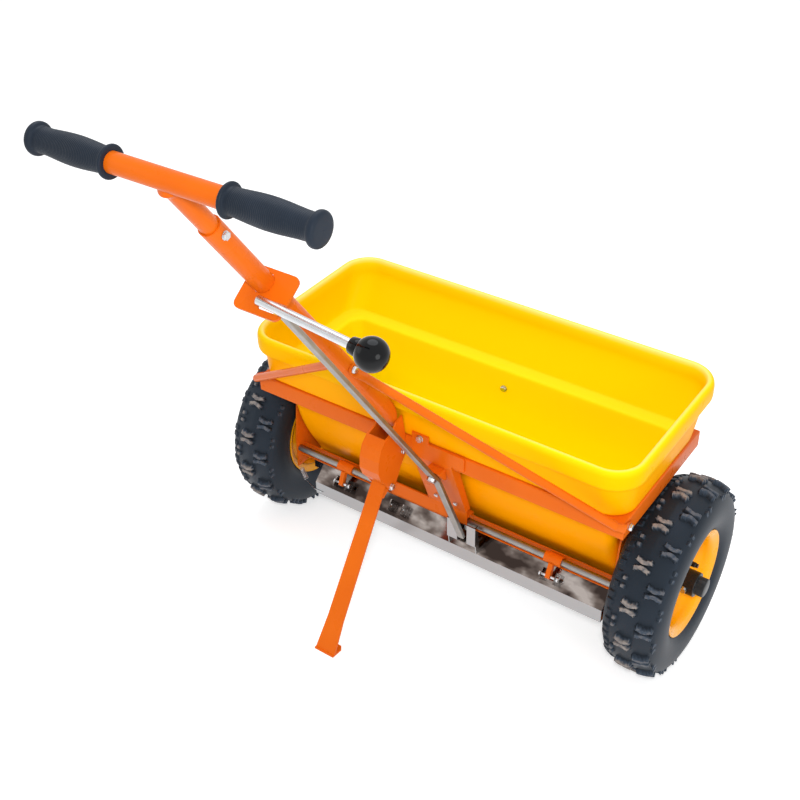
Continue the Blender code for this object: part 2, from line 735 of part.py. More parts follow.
right_x = handle_x + bracket_half
bracket = cut(prism(cheek, "x", left_x, right_x),
              prism(pocket_outline, "x", left_x + bracket_wall, right_x - bracket_wall))
pivot_hole = rod((left_x - 0.01, *stand_pivot), (right_x + 0.01, *stand_pivot), bolt_radius + slip, 12)
side_bolt = (-0.1447, 0.3312)
side_hole = rod((right_x - 0.01, *side_bolt), (right_x + 0.01, *side_bolt), bolt_radius + slip, 12)
piece("handle_bracket", "frame", frame_orange, cut(bracket, pivot_hole, side_hole))
span = 2.0 * (bracket_half + contact)
piece("stand_pivot_bolt", "frame", zinc,
      bolt((right_x + contact, *stand_pivot), (-1, 0, 0), span, nut=span))
piece("bracket_bolt", "frame", zinc,
      bolt((right_x + contact, *side_bolt), (-1, 0, 0), 0.01, nut=bracket_wall + 2 * contact))
piece("handle_bolt", "frame", zinc,
      bolt(on_handle(handle_bolt_z) + Vector((handle_radius + contact, 0, 0)), (-1, 0, 0), 0.03,
           nut=2.0 * (handle_radius + contact)))
piece("brace_bolt", "frame", zinc,
      bolt(on_handle(brace_bolt_z) + Vector((handle_radius + 0.0036, 0, 0)), (-1, 0, 0), 0.03,
           nut=2.0 * (handle_radius + 0.0036)))


# Braces: round bars from the ring's rear corners, flattened and drilled at both ends
def brace(side):
    low = Vector((side * (ring_half + contact + 0.0015), brace_bolt_y, brace_bolt_z_low))
    high = on_handle(brace_bolt_z) + Vector((side * (handle_radius + contact + 0.0015), 0, 0))
    bend_low = low + Vector((-side * 0.0028, -0.0235, 0.0115))
    bend_high = high + Vector((side * 0.010, 0.0080, -0.012))
    run = (bend_high - bend_low).normalized()
    stations = []
    flat_low = Vector((0.0, -0.88, 0.47)).normalized()
    out_low = Vector((side, 0, 0))
    stations.append((low - flat_low * 0.0085, flat_low.cross(out_low), out_low, 0.0050, 0.0015))
    stations.append((low - flat_low * 0.0055, flat_low.cross(out_low), out_low, 0.0085, 0.0015))
    stations.append((low + flat_low * 0.0090, flat_low.cross(out_low), out_low, 0.0085, 0.0015))
    stations.append((low + Vector((side * 0.0010, -0.0165, 0.0082)), flat_low.cross(out_low), out_low,
                     0.0070, 0.0026))
    across = run.cross(out_low).normalized()
    stations.append((bend_low + run * 0.006, across, across.cross(run), brace_radius, brace_radius))
    stations.append((bend_high - run * 0.006, across, across.cross(run), brace_radius, brace_radius))
    out_high = Vector((1, 0, 0))
    flat_high = (run - out_high * run.dot(out_high)).normalized()
    cross_high = out_high.cross(flat_high)
    if cross_high.dot(across) < 0.0:
        cross_high = -cross_high
    third = Vector((side, 0, 0))
    if third.dot(across.cross(run)) < 0.0:
        third = -third
    stations.append((high - flat_high * 0.0068, cross_high, third, 0.0085, 0.0015))
    stations.append((high + flat_high * 0.0055, cross_high, third, 0.0085, 0.0015))
    stations.append((high + flat_high * 0.0085, cross_high, third, 0.0050, 0.0015))
    rings = []
    for centre, first, second, wide, thick in stations:
        rings.append([centre + first * wide * math.cos(a) + second * thick * math.sin(a)
                      for a in np.linspace(0.0, 2.0 * math.pi, 16, endpoint=False)])
    solid = loft(rings)
    low_hole = rod(low - Vector((0.01, 0, 0)), low + Vector((0.01, 0, 0)), bolt_radius + slip, 12)
    high_hole = rod(high - Vector((0.01, 0, 0)), high + Vector((0.01, 0, 0)), bolt_radius + slip, 12)
    return cut(solid, low_hole, high_hole)


piece("brace_left", "frame", frame_orange, brace(-1))
piece("brace_right", "frame", frame_orange, brace(1))
corner_seat = ring_half + 2.0 * contact + 0.003
for side, name in ((-1, "corner_bolt_left"), (1, "corner_bolt_right")):
    piece(name, "frame", zinc,
          bolt((side * corner_seat, brace_bolt_y, brace_bolt_z_low), (-side, 0, 0), 0.01,
               nut=corner_seat - ring_half + ring_wall + contact))

# Pivot bracket on the rear rail, with the boss that carries the lever
bracket_line = [(ring_rear - contact - 0.003, 0.371), (ring_rear - contact - 0.003, 0.326),
                (-0.0945, 0.204), (-0.0945, 0.178)]
blank = prism(sheet(bracket_line, 0.003), "x", -0.100, 0.071)
blank = cut(blank, box((-0.11, -0.2, 0.204), (-0.024, 0.0, 0.40)))
blank = cut(blank, box((0.006, -0.2, 0.357), (0.08, 0.0, 0.40)))
blank = cut(blank, box((0.049, -0.2, 0.10), (0.08, 0.0, 0.332)))
cheek_fold = [(-0.1380, 0.3235), (-0.1215, 0.3235), (-0.0825, 0.2065), (-0.0935, 0.2065)]
pivot = Vector(lever_pivot)
seat = pivot + off_tube * (lever_wall / 2.0 + slip)
boss_high = seat + up_tube * 0.013
boss_low = seat - up_tube * 0.013
boss_shape = [(boss_high.y, boss_high.z), (boss_low.y, boss_low.z), (-0.1305, 0.2950), (-0.1375, 0.3205)]
shelf_z = guide_z + guide_radius + 0.0016
shelf_shape = [(-0.0930, shelf_z), (-0.0677, shelf_z), (-0.0677, 0.170), (-0.0655, 0.170),
               (-0.0655, shelf_z + 0.0022), (-0.0930, shelf_z + 0.0022)]
blank = join(blank, prism(cheek_fold, "x", 0.046, 0.0488), prism(cheek_fold, "x", -0.0238, -0.021),
             prism(boss_shape, "x", 0.009, 0.035), prism(shelf_shape, "x", -0.020, 0.045))
down = Vector((0.0, 0.0453, -0.122)).normalized()
rearward = Vector((0.0, down.z, -down.y))
screws = []
for x, z in ((-0.0037, 0.2253), (0.033, 0.2237)):
    screws.append(Vector((x, -0.0945 - (z - 0.204) * 0.3713, z)))
holes = [rod(pivot, pivot + off_tube * 0.0125, 0.0040 + slip, 16)]
holes += [rod(s + rearward * 0.01, s - rearward * 0.01, 0.002 + slip, 10) for s in screws]
holes += [rod(ear - Vector((0, 0.01, 0)), ear + Vector((0, 0.01, 0)), bolt_radius + slip, 12)]
piece("pivot_bracket", "frame", frame_orange, cut(blank, *holes))
piece("pivot_bracket_bolt", "frame", zinc,
      bolt(ear - Vector((0, contact, 0)), (0, 1, 0), 0.0085, height=0.0045, head=0.0062))
for place, name in zip(screws, ("bracket_screw_left", "bracket_screw_right")):
    piece(name, "frame", zinc,
          bolt(place + rearward * contact, -rearward, 0.006, 0.002, head=0.004, height=0.0025))
piece("lever_pivot_bolt", "frame", zinc,
      bolt(pivot - off_tube * (lever_wall / 2.0 + slip), off_tube, 0.0115, 0.004, head=0.0085,
           height=0.005))

# Control lever: a flat bar bent at its pivot, a cross rod and a ball
cross_point = plate_centre + Vector((lever_cross[0], 0, 0)) + off_tube * lever_cross[1]
top = cross_point + up_tube * (rod_lift - rod_radius - contact - 0.0006)
upper = (top - pivot)
in_plane = (upper - off_tube * upper.dot(off_tube)).normalized()
broad = in_plane.cross(off_tube).normalized()
end = Vector(lever_end)
lower = (pivot - in_plane * 0.014 - end).normalized()
low_thick = (off_tube - lower * off_tube.dot(lower)).normalized()
low_broad = lower.cross(low_thick).normalized()
bar_rings = []
for centre, wide, thick in ((top, broad, off_tube), (pivot + in_plane * 0.014, broad, off_tube),
                            (pivot - in_plane * 0.014, broad, off_tube), (end, low_broad, low_thick)):
    a = wide * lever_width / 2.0
    b = thick * lever_wall / 2.0
    bar_rings.append([centre + a + b * 0.7, centre + a * 0.85 + b, centre - a * 0.85 + b,
                      centre - a + b * 0.7, centre - a - b * 0.7, centre - a * 0.85 - b,
                      centre + a * 0.85 - b, centre + a - b * 0.7])
pivot_bore = rod(pivot - off_tube * 0.01, pivot + off_tube * 0.01, 0.004 + slip, 16)
piece("lever_bar", "lever", zinc, cut(loft(bar_rings), pivot_bore))
rod_from = plate_centre + Vector((rod_start[0], 0, 0)) + off_tube * rod_start[1] + up_tube * rod_lift
ball_centre = plate_centre + Vector((ball_place[0], 0, 0)) + off_tube * ball_place[1] + up_tube * rod_lift
rod_run = (ball_centre - rod_from).normalized()
rod_length = (ball_centre - rod_from).length
piece("cross_rod", "lever", zinc,
      lathe([(0.0, 0.0), (0.0, rod_radius - 0.002), (0.002, rod_radius),
             (rod_length - 0.0083, rod_radius), (rod_length - 0.0083, 0.0)], rod_from, rod_run, 20))
knob = [(-0.008, 0.0), (-0.008, rod_radius + slip), (-0.0295, rod_radius + slip), (-0.0295, 0.0105),
        (-0.0190, 0.0115)]
for angle in np.linspace(math.radians(149.0), 0.0, 10):
    knob.append((ball_radius * math.cos(angle), ball_radius * math.sin(angle)))
piece("ball_knob", "lever", ball_black, lathe(knob, ball_centre, rod_run, 20))

# Stand: a folding strap with lugs on its pivot and a bent foot
leg_top = Vector((handle_x, stand_pivot[0] - 0.0072, stand_pivot[1] + 0.0042))
leg_foot = Vector((handle_x, *stand_foot))
leg_run = (leg_foot - leg_top).normalized()
leg_out = Vector((0.0, leg_run.z, -leg_run.y))
leg_top = leg_top - leg_run * 0.004
leg_rings = []
for share, half in ((0.0, 0.0130), (0.15, 0.0130), (0.80, 0.0150), (1.0, 0.0185)):
    centre = leg_top.lerp(leg_foot, share)
    a = Vector((half, 0, 0))
    b = leg_out * stand_wall / 2.0
    leg_rings.append([centre - a - b, centre + a - b, centre + a + b, centre - a + b])
ground = Vector((0.0, math.cos(lean), -math.sin(lean)))
ground_up = Vector((0.0, math.sin(lean), math.cos(lean)))
axle_point = Vector(axle_place)
heel_y = (leg_foot - axle_point).dot(ground)
sole = -tyre_radius


def from_ground(x, along, height):
    """A point given along the ground behind the axle and above it."""
    return axle_point + Vector((x, 0, 0)) + ground * along + ground_up * (height - tyre_radius)


foot_rings = []
for along, half in ((heel_y - 0.004, 0.0185), (heel_y + 0.018, 0.0185), (heel_y + 0.024, 0.0140)):
    foot_rings.append([from_ground(handle_x - half, along, 0.0), from_ground(handle_x + half, along, 0.0),
                       from_ground(handle_x + half, along, stand_wall),
                       from_ground(handle_x - half, along, stand_wall)])
floor_cut = loft([[from_ground(x, -0.5, h) for x, h in ((-0.2, 0.0), (0.2, 0.0), (0.2, -0.1), (-0.2, -0.1))],
                  [from_ground(x, 0.0, h) for x, h in ((-0.2, 0.0), (0.2, 0.0), (0.2, -0.1), (-0.2, -0.1))]])
strap = cut(loft(leg_rings), floor_cut)
lug_outline = []
for a in np.linspace(0.0, math.pi, 7):
    point = Vector((0, *stand_pivot)) - leg_run * 0.0075 * math.sin(a) - leg_out * 0.0075 * math.cos(a)
    lug_outline.append((point.y, point.z))
for along, out in ((0.0, 0.0078), (0.022, 0.0078), (0.022, 0.002)):
    point = Vector((0, *stand_pivot)) + leg_run * along + leg_out * out
    lug_outline.append((point.y, point.z))
lugs = [prism(lug_outline, "x", handle_x + low, handle_x + high)
        for low, high in ((-0.0130, -0.0105), (0.0105, 0.0130))]
strap = join(strap, loft(foot_rings), *lugs)
piece("stand_leg", "stand", frame_orange, cut(strap, pivot_hole))

# Axle with the agitator's toothed discs
drive_hole = rod((hub_pin_x, -hub_radius - 0.01, tyre_radius), (hub_pin_x, hub_radius + 0.01, tyre_radius),
                 bolt_radius + slip, 12)
axle = rod((-axle_half, 0, tyre_radius), (axle_half, 0, tyre_radius), axle_radius, 20)
piece("axle", "drive_axle", axle_steel, cut(axle, drive_hole))


def agitator_ring(x, tooth, turn):
    ring = []
    for i in range(16):
        angle = 2.0 * math.pi * i / 16.0 + lean
        radius = tooth if (i + turn) % 4 == 0 else 0.0135
        radius = radius if tooth else axle_radius + contact
        ring.append((x, radius * math.cos(angle), tyre_radius + radius * math.sin(angle)))
    return ring


agitator_half = plate_inner - agitator_room
sleeve_rings = [agitator_ring(-agitator_half, 0.0, 0), agitator_ring(-agitator_half, 0.0135, 0)]
for k, x in enumerate(drop_places):
    sleeve_rings += [agitator_ring(x - 0.005, 0.0135, 0), agitator_ring(x - 0.004, 0.021, 2 * (k % 2)),
                     agitator_ring(x + 0.004, 0.021, 2 * (k % 2)), agitator_ring(x + 0.005, 0.0135, 0)]
sleeve_rings += [agitator_ring(agitator_half, 0.0135, 0), agitator_ring(agitator_half, 0.0, 0)]
piece("agitator", "drive_axle", axle_steel, loft(sleeve_rings, closed=True))

# Tyres: one height field with two staggered rows of lugs
tread = [
    (-0.0350, 0.0771, 0), (-0.0352, 0.0890, 0), (-0.0490, 0.1010, 0), (-tyre_half_width, 0.1230, 0),
    (-0.0488, 0.1405, 0), (-0.0450, 0.1475, 0), (-0.0420, 0.1502, 1), (-0.0060, 0.1572, 1),
    (0.0060, 0.1572, 2), (0.0420, 0.1502, 2), (0.0450, 0.1475, 0), (0.0488, 0.1405, 0),
    (tyre_half_width, 0.1230, 0), (0.0490, 0.1010, 0), (0.0352, 0.0890, 0), (0.0350, 0.0771, 0),
    (0.0290, 0.0795, 0), (0.0400, 0.1380, 0), (-0.0400, 0.1380, 0), (-0.0290, 0.0795, 0),
]


def tyre(centre_x):
    count = lug_pitches * 3
    rings = []
    for i in range(count):
        angle = 2.0 * math.pi * i / count - lean
        first = 0.0 if i % 3 == 0 else 1.0
        second = 0.0 if i % 3 == 1 else 1.0
        ring = []
        for across, radius, row in tread:
            lift = lug_height * (first if row == 1 else second if row == 2 else 0.0)
            ring.append((centre_x + across, (radius + lift) * math.cos(angle),
                         tyre_radius + (radius + lift) * math.sin(angle)))
        rings.append(ring)
    return loft(rings, closed=True)


rim_outer = [(0.0120, 0.0108), (0.0120, 0.0460), (0.0100, 0.0570), (0.0122, 0.0660), (0.0200, 0.0722),
             (0.0345, 0.0745), (0.0400, 0.0850), (0.0418, 0.0890)]
rim_edge = [(0.0405, 0.0902), (0.0360, 0.0840), (0.0352, 0.0767)]
rim_back = [(-s, r) for s, r in reversed(rim_edge)]
rim_back += [(-0.0418, 0.0890), (-0.0400, 0.0850), (-0.0345, 0.0745)]
rim_face = [(0.0140, 0.0745), (0.0100, 0.0680), (0.0080, 0.0570), (0.0098, 0.0460), (0.0098, 0.0108)]
rim_shape = rim_outer + rim_edge + rim_back + rim_face
dome_shape = [(-0.0250, 0.0753), (-0.0310, 0.0590), (-0.0435, 0.0380), (-0.0465, 0.0108),
              (-0.0445, 0.0108), (-0.0415, 0.0370), (-0.0290, 0.0575), (-0.0225, 0.0753)]
for side, name, body in ((-1, "left", "wheel_left"), (1, "right", "drive_axle")):
    centre = (side * track_half, 0, tyre_radius)
    along = (side, 0, 0)
    piece("tyre_" + name, body, tyre_black, tyre(side * track_half), angle=50.0)
    piece("rim_" + name, body, rim_yellow,
          join(lathe(rim_shape, centre, along, 28), lathe(dome_shape, centre, along, 28)))
valve = [(hub_inner_end, 0.0), (hub_inner_end, 0.0045), (hub_inner_end + 0.010, 0.0045),
         (hub_inner_end + 0.012, 0.0035), (hub_inner_end + 0.015, 0.0035), (hub_inner_end + 0.015, 0.0)]
piece("valve", "drive_axle", hub_black,
      lathe(valve, (0, valve_offset, tyre_radius - 0.008), (1, 0, 0), 12))
hub_right = [(hub_inner_end, axle_radius + slip), (hub_inner_end, hub_radius), (hub_step, hub_radius),
             (hub_step, hub_cap_radius), (hub_reach, hub_cap_radius - 0.001), (hub_reach, 0.0),
             (hub_reach - hub_cap_wall, 0.0), (hub_reach - hub_cap_wall, axle_radius + slip)]
clip_seat_x = hub_reach - 0.0115
hub_left = [(hub_inner_end, axle_radius + slip), (hub_inner_end, hub_radius), (hub_step, hub_radius),
            (hub_step, hub_cap_radius), (hub_reach, hub_cap_radius - 0.001), (hub_reach, 0.0),
            (hub_reach - 0.0018, 0.0), (hub_reach - 0.0018, 0.0130), (clip_seat_x, 0.0130),
            (clip_seat_x, axle_radius + slip)]
origin = (0, 0, tyre_radius)
piece("hub_right", "drive_axle", hub_black, cut(lathe(hub_right, origin, (1, 0, 0), 24), drive_hole))
piece("hub_left", "wheel_left", hub_black, lathe(hub_left, origin, (-1, 0, 0), 24))
seat_y = -hub_radius - contact
piece("drive_pin", "drive_axle", zinc,
      bolt((hub_pin_x, seat_y, tyre_radius), (0, 1, 0), 0.04, nut=-2.0 * seat_y))
clip_near = clip_seat_x + 0.0015
clip_ring = [(clip_near, axle_radius + contact), (clip_near, 0.0125), (clip_near + 0.002, 0.0125),
             (clip_near + 0.002, axle_radius + contact)]
piece("axle_clip", "drive_axle", zinc, lathe(clip_ring, origin, (-1, 0, 0), 20))
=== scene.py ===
# Walk-behind drop spreader, dressed for the photograph's view. Shapes are drawn in the machine's
# own frame, in metres: x to the operator's right, y forward, z up from the wheels' lowest point.
import json
import math

import bmesh
import bpy
import numpy as np
from mathutils import Matrix, Vector


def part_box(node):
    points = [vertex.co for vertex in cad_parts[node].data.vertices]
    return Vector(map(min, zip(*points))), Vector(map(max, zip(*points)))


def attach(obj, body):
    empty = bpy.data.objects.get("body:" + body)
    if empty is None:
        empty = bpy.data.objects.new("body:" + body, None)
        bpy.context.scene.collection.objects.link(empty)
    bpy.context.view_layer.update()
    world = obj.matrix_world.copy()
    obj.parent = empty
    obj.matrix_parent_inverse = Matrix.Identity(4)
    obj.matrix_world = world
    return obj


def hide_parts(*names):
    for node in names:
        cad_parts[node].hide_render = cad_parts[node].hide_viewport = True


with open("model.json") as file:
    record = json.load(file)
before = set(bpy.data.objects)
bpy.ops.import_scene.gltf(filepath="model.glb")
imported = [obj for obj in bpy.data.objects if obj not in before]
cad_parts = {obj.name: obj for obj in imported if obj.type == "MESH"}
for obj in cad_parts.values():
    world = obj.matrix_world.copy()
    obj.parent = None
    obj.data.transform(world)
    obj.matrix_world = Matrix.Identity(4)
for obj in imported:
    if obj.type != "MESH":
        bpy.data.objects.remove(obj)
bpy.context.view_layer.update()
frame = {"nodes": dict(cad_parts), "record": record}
print("stage: frame loaded")

# How the machine stands: leaned back on its stand, its axle's height, and each wheel's distance out
stance = {"lean": math.radians(7.5), "axleHeight": 0.165, "track": 0.366}
wheels = ((-1, "left", "wheel_left"), (1, "right", "drive_axle"))
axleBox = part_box("axle")
axleCentre = (axleBox[0] + axleBox[1]) / 2.0
leanTurn = Matrix.Rotation(stance["lean"], 3, "X")
leanArray = np.array(leanTurn)
axleMachine = np.array((0.0, 0.0, stance["axleHeight"]))


# Machine frame to world: turned by the lean about the axle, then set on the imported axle
def toWorld(points):
    return (np.asarray(points, float) - axleMachine) @ leanArray.T + np.array(axleCentre)


# sRGB hex, as seen on a screen, turned to linear light
def colour(code):
    parts = [int(code[i:i + 2], 16) / 255.0 for i in (0, 2, 4)]
    return tuple(p / 12.92 if p <= 0.04045 else ((p + 0.055) / 1.055) ** 2.4 for p in parts) + (1.0,)


def grey(level):
    return (level, level, level, 1.0)


def newMaterial(name):
    material = bpy.data.materials.new(name)
    material.use_nodes = True
    material.node_tree.nodes.clear()
    return material


# One node, with its links. Settings are its own properties, a ramp's stops or its unlinked inputs
def add(tree, kind, settings=None, links=None):
    node = tree.nodes.new("ShaderNode" + kind)
    for key, value in (settings or {}).items():
        if key == "stops":
            while len(node.color_ramp.elements) < len(value):
                node.color_ramp.elements.new(0.5)
            for element, (place, shade) in zip(node.color_ramp.elements, value):
                element.position = place
                element.color = shade
        elif hasattr(node, key):
            setattr(node, key, value)
        else:
            node.inputs[key].default_value = value
    for key, source in (links or {}).items():
        tree.links.new(source, node.inputs[key])
    return node


# Cloudy noise on the object's own coordinates, its grain a real size; stops turn it into tones
def mottle(tree, grainMm, detail, stops=None, stretch=(1.0, 1.0, 1.0)):
    place = add(tree, "TexCoord")
    mapped = add(tree, "Mapping", {"Scale": stretch}, {"Vector": place.outputs["Object"]})
    cloud = add(tree, "TexNoise", {"Scale": 1000.0 / grainMm, "Detail": detail},
                {"Vector": mapped.outputs["Vector"]}).outputs["Fac"]
    if stops is None:
        return cloud
    return add(tree, "ValToRGB", {"stops": stops}, {"Fac": cloud}).outputs["Color"]


# A small bump over edges that are rounded to a radius
def edgeNormal(tree, height, strength, depth, radius):
    edge = add(tree, "Bevel", {"samples": 4, "Radius": radius})
    bump = add(tree, "Bump", {"Strength": strength, "Distance": depth},
               {"Height": height, "Normal": edge.outputs["Normal"]})
    return bump.outputs["Normal"]


# Paint and plain plastic: one tone with faint blotches, a fine orange peel and soft edges
paintLook = {
    "blotchMm": 90.0, "smudgeMm": 25.0, "smudge": 0.15, "peelStrength": 0.10, "peelDepth": 0.0004,
    "edge": 0.0006, "coatRoughness": 0.12,
}


def paint(name, tone, shade, rough, peelMm, coat=0.0, shine=0.5):
    look, material = paintLook, newMaterial(name)
    tree = material.node_tree
    tint = mottle(tree, look["blotchMm"], detail=2.0, stops=[(0.35, colour(shade)), (0.7, colour(tone))])
    gloss = mottle(tree, look["smudgeMm"], detail=4.0,
                   stops=[(0.3, grey(rough * (1.0 - look["smudge"]))),
                          (0.7, grey(rough * (1.0 + look["smudge"])))])
    normal = edgeNormal(tree, mottle(tree, peelMm, detail=2.0), look["peelStrength"], look["peelDepth"],
                        look["edge"])
    body = add(tree, "BsdfPrincipled", {"Coat Weight": coat, "Coat Roughness": look["coatRoughness"],
                                        "Specular IOR Level": shine},
               {"Base Color": tint, "Roughness": gloss, "Normal": normal})
    add(tree, "OutputMaterial", {}, {"Surface": body.outputs["BSDF"]})
    return material


# Bare or plated metal: a fine grain in its roughness, and a slower change of tone
metalLook = {
    "cloudMm": 30.0, "glossSpread": 0.3, "grainStrength": 0.05, "grainDepth": 0.0002, "edge": 0.0004,
}


def metal(name, tone, shade, rough, grainMm):
    look, material = metalLook, newMaterial(name)
    tree = material.node_tree
    grain = mottle(tree, grainMm, detail=4.0)
    tint = mottle(tree, look["cloudMm"], detail=3.0, stops=[(0.3, colour(shade)), (0.7, colour(tone))])
    gloss = add(tree, "ValToRGB", {"stops": [(0.3, grey(rough * (1.0 - look["glossSpread"]))),
                                             (0.75, grey(rough * (1.0 + look["glossSpread"])))]},
                {"Fac": grain}).outputs["Color"]
    normal = edgeNormal(tree, grain, look["grainStrength"], look["grainDepth"], look["edge"])
    body = add(tree, "BsdfPrincipled", {"Metallic": 1.0},
               {"Base Color": tint, "Roughness": gloss, "Normal": normal})
    add(tree, "OutputMaterial", {}, {"Surface": body.outputs["BSDF"]})
    return material


# Vulcanised rubber: dull blue-black, with pale dust on the lug tops. Where the mesh's own value for dust
# and sheen stays low, as on the right-hand row's tops, a blue-grey tone is a painted sky sheen
rubberLook = {
    # The middle, blue-grey tone is a painted sky sheen on lug tops, mixed with thin dust
    "clean": "1C2024", "sheenAndThinDust": "38404A", "dusty": "8E847C", "sheen": "B4CEF2", "speckleMm": 6.0,
    "poreMm": 2.5, "poreStrength": 0.25, "poreDepth": 0.0005, "edge": 0.0006, "roughness": 0.5,
    "shine": 0.35,
}


def tyreRubber(look):
    material = newMaterial("tyreRubber")
    tree = material.node_tree
    dust = add(tree, "Attribute", {"attribute_name": "dust"}).outputs["Fac"]
    speckle = mottle(tree, look["speckleMm"], detail=5.0, stops=[(0.25, grey(0.45)), (0.6, grey(1.0))])
    mottled = add(tree, "Math", {"operation": "MULTIPLY"}, {0: dust, 1: speckle}).outputs[0]
    tones = [(0.0, colour(look["clean"])), (0.35, colour(look["sheenAndThinDust"])), (1.0, colour(look["dusty"]))]
    tint = add(tree, "ValToRGB", {"stops": tones}, {"Fac": mottled}).outputs["Color"]
    normal = edgeNormal(tree, mottle(tree, look["poreMm"], detail=4.0), look["poreStrength"],
                        look["poreDepth"], look["edge"])
    body = add(tree, "BsdfPrincipled",
               {"Roughness": look["roughness"], "Specular IOR Level": look["shine"],
                "Specular Tint": colour(look["sheen"])}, {"Base Color": tint, "Normal": normal})
    add(tree, "OutputMaterial", {}, {"Surface": body.outputs["BSDF"]})
    return material


# Moulded plastic, such as polyethylene: satin yellow, with light and shade painted into its tones. The
# deeper orange outside is painted shade, the pale band on the lip is a painted highlight, and the
# brighter yellow inside is painted light from above.
# Tones go round the section, from the outside's foot over the lip to the inside's, by the mesh's own
# depth
mouldedLook = {
    "tones": [(0.0, "FFA000"), (0.24, "FFA200"), (0.30, "FFB200"), (0.36, "FFBA00"), (0.45, "FFC000"),
              (0.50, "FFD410"), (0.55, "FFE47C"), (0.59, "FFD010"), (0.63, "FFC600"), (0.69, "FFCA00"),
              (0.73, "FFD61C"), (0.78, "FFD60A"), (0.83, "FFE800"), (1.0, "FFF400")],
    "roughness": (0.26, 0.36), "smudgeMm": 25.0, "peelMm": 5.0, "peelStrength": 0.08,
    "peelDepth": 0.0004, "edge": 0.0008, "shine": 0.02,
}


def mouldedYellow(look):
    material = newMaterial("mouldedYellowPlastic")
    tree = material.node_tree
    depth = add(tree, "Attribute", {"attribute_name": "depth"}).outputs["Fac"]
    tones = [(place, colour(tone)) for place, tone in look["tones"]]
    # Painted shade outside, a painted highlight on the lip and painted light inside, along the depth
    tint = add(tree, "ValToRGB", {"stops": tones}, {"Fac": depth}).outputs["Color"]
    smooth, rough = look["roughness"]
    gloss = mottle(tree, look["smudgeMm"], detail=4.0, stops=[(0.3, grey(smooth)), (0.7, grey(rough))])
    normal = edgeNormal(tree, mottle(tree, look["peelMm"], detail=2.0), look["peelStrength"],
                        look["peelDepth"], look["edge"])
    body = add(tree, "BsdfPrincipled", {"Specular IOR Level": look["shine"]},
               {"Base Color": tint, "Roughness": gloss, "Normal": normal})
    add(tree, "OutputMaterial", {}, {"Surface": body.outputs["BSDF"]})
    return material


# Bright rolled stainless sheet: plain grey on upright faces. Where it looks up, dim brownish clouds are a
# painted reflection of the hopper's shaded underside
mirrorLook = {
    "upright": "A6A8AA", "paintedReflectionTones": [(0.40, "3C322E"), (0.50, "6E625C"), (0.64, "B4AAA4")],
    "cloudMm": 55.0, "cloudStretch": (1.0, 1.6, 1.6), "upwardFrom": 0.30, "upwardTo": 0.45,
    "grainMm": 1.5, "grainStretch": (0.02, 1.0, 1.0), "roughness": (0.08, 0.16),
    "waveMm": 40.0, "waveStrength": 0.10, "waveDepth": 0.0003, "edge": 0.0004,
}


def mirrorStainless(look):
    material = newMaterial("mirrorStainless")
    tree = material.node_tree
    facing = add(tree, "SeparateXYZ", {}, {"Vector": add(tree, "TexCoord").outputs["Normal"]})
    upward = add(tree, "ValToRGB",
                 {"stops": [(look["upwardFrom"], grey(0.0)), (look["upwardTo"], grey(1.0))]},
                 {"Fac": facing.outputs["Z"]}).outputs["Color"]
    # Dim brownish clouds for upward faces: a painted reflection of the hopper's shaded underside
    paintedReflection = mottle(tree, look["cloudMm"], detail=3.0,
                    stops=[(place, colour(tone)) for place, tone in look["paintedReflectionTones"]],
                    stretch=look["cloudStretch"])
    tint = add(tree, "MixRGB", {"Color1": colour(look["upright"])},
               {"Fac": upward, "Color2": paintedReflection}).outputs["Color"]
    smooth, rough = look["roughness"]
    gloss = mottle(tree, look["grainMm"], detail=4.0, stops=[(0.3, grey(smooth)), (0.75, grey(rough))],
                   stretch=look["grainStretch"])
    normal = edgeNormal(tree, mottle(tree, look["waveMm"], detail=2.0), look["waveStrength"],
                        look["waveDepth"], look["edge"])
    body = add(tree, "BsdfPrincipled", {"Metallic": 1.0},
               {"Base Color": tint, "Roughness": gloss, "Normal": normal})
    add(tree, "OutputMaterial", {}, {"Surface": body.outputs["BSDF"]})
    return material


finishes = {
    # Sprayed powder coat on sheet and tube: an even orange with a low shine
    "frame_orange": paint("orangePowderCoat", "DE680F", "D8620D", 0.30, 3.0, coat=0.03, shine=0.10),
    # Gloss paint on pressed steel: an even, deep yellow
    "rim_yellow": paint("yellowRimPaint", "FFB000", "FFAA00", 0.28, 4.0, coat=0.03, shine=0.2),
    # Moulded soft rubber: dull blue-black; the blue in it is a painted cool sheen from the sky light
    "grip_black": paint("ribbedGripRubber", "1B2430", "161E28", 0.5, 2.0, shine=0.22),
    # Polished hard plastic: deep black with one small sharp highlight
    "ball_black": paint("blackBallPlastic", "0A0B0D", "08090A", 0.08, 9.0, shine=0.20),
    # Moulded plastic: satin black
    "hub_black": paint("blackHubPlastic", "121417", "0F1114", 0.36, 3.0, shine=0.35),
    # Satin plating on flat bar and rod: mid grey with broad soft highlights
    "satin": metal("satinPlatedSteel", "A09E9A", "8C8A86", 0.40, 1.2),
    # Bright zinc plate on bolts, cross rod, clip and spring: pale and shiny
    "zinc": metal("brightZincPlate", "D4D6D8", "C4C7CA", 0.26, 1.0),
    # Steel as turned: plain grey, a little rough
    "axle_steel": metal("turnedSteel", "B4B6B8", "A4A6A9", 0.35, 0.8),
    # Sintered bronze: warm brown and open-grained
    "bush_bronze": metal("sinteredBronze", "B08A52", "9C7844", 0.45, 0.6),
    "tyre_black": tyreRubber(rubberLook),
    "hopper_yellow": mouldedYellow(mouldedLook),
    "stainless": mirrorStainless(mirrorLook),
}
satinNodes = ("lever_bar", "guide_rod_front", "guide_rod_rear")

slotOf = {part["node"]: part["material_slot"] for part in frame["record"]["subparts"]}
for node, thing in frame["nodes"].items():
    for place in thing.material_slots:
        place.material = finishes["satin" if node in satinNodes else slotOf[node]]
print("stage: finishes set")

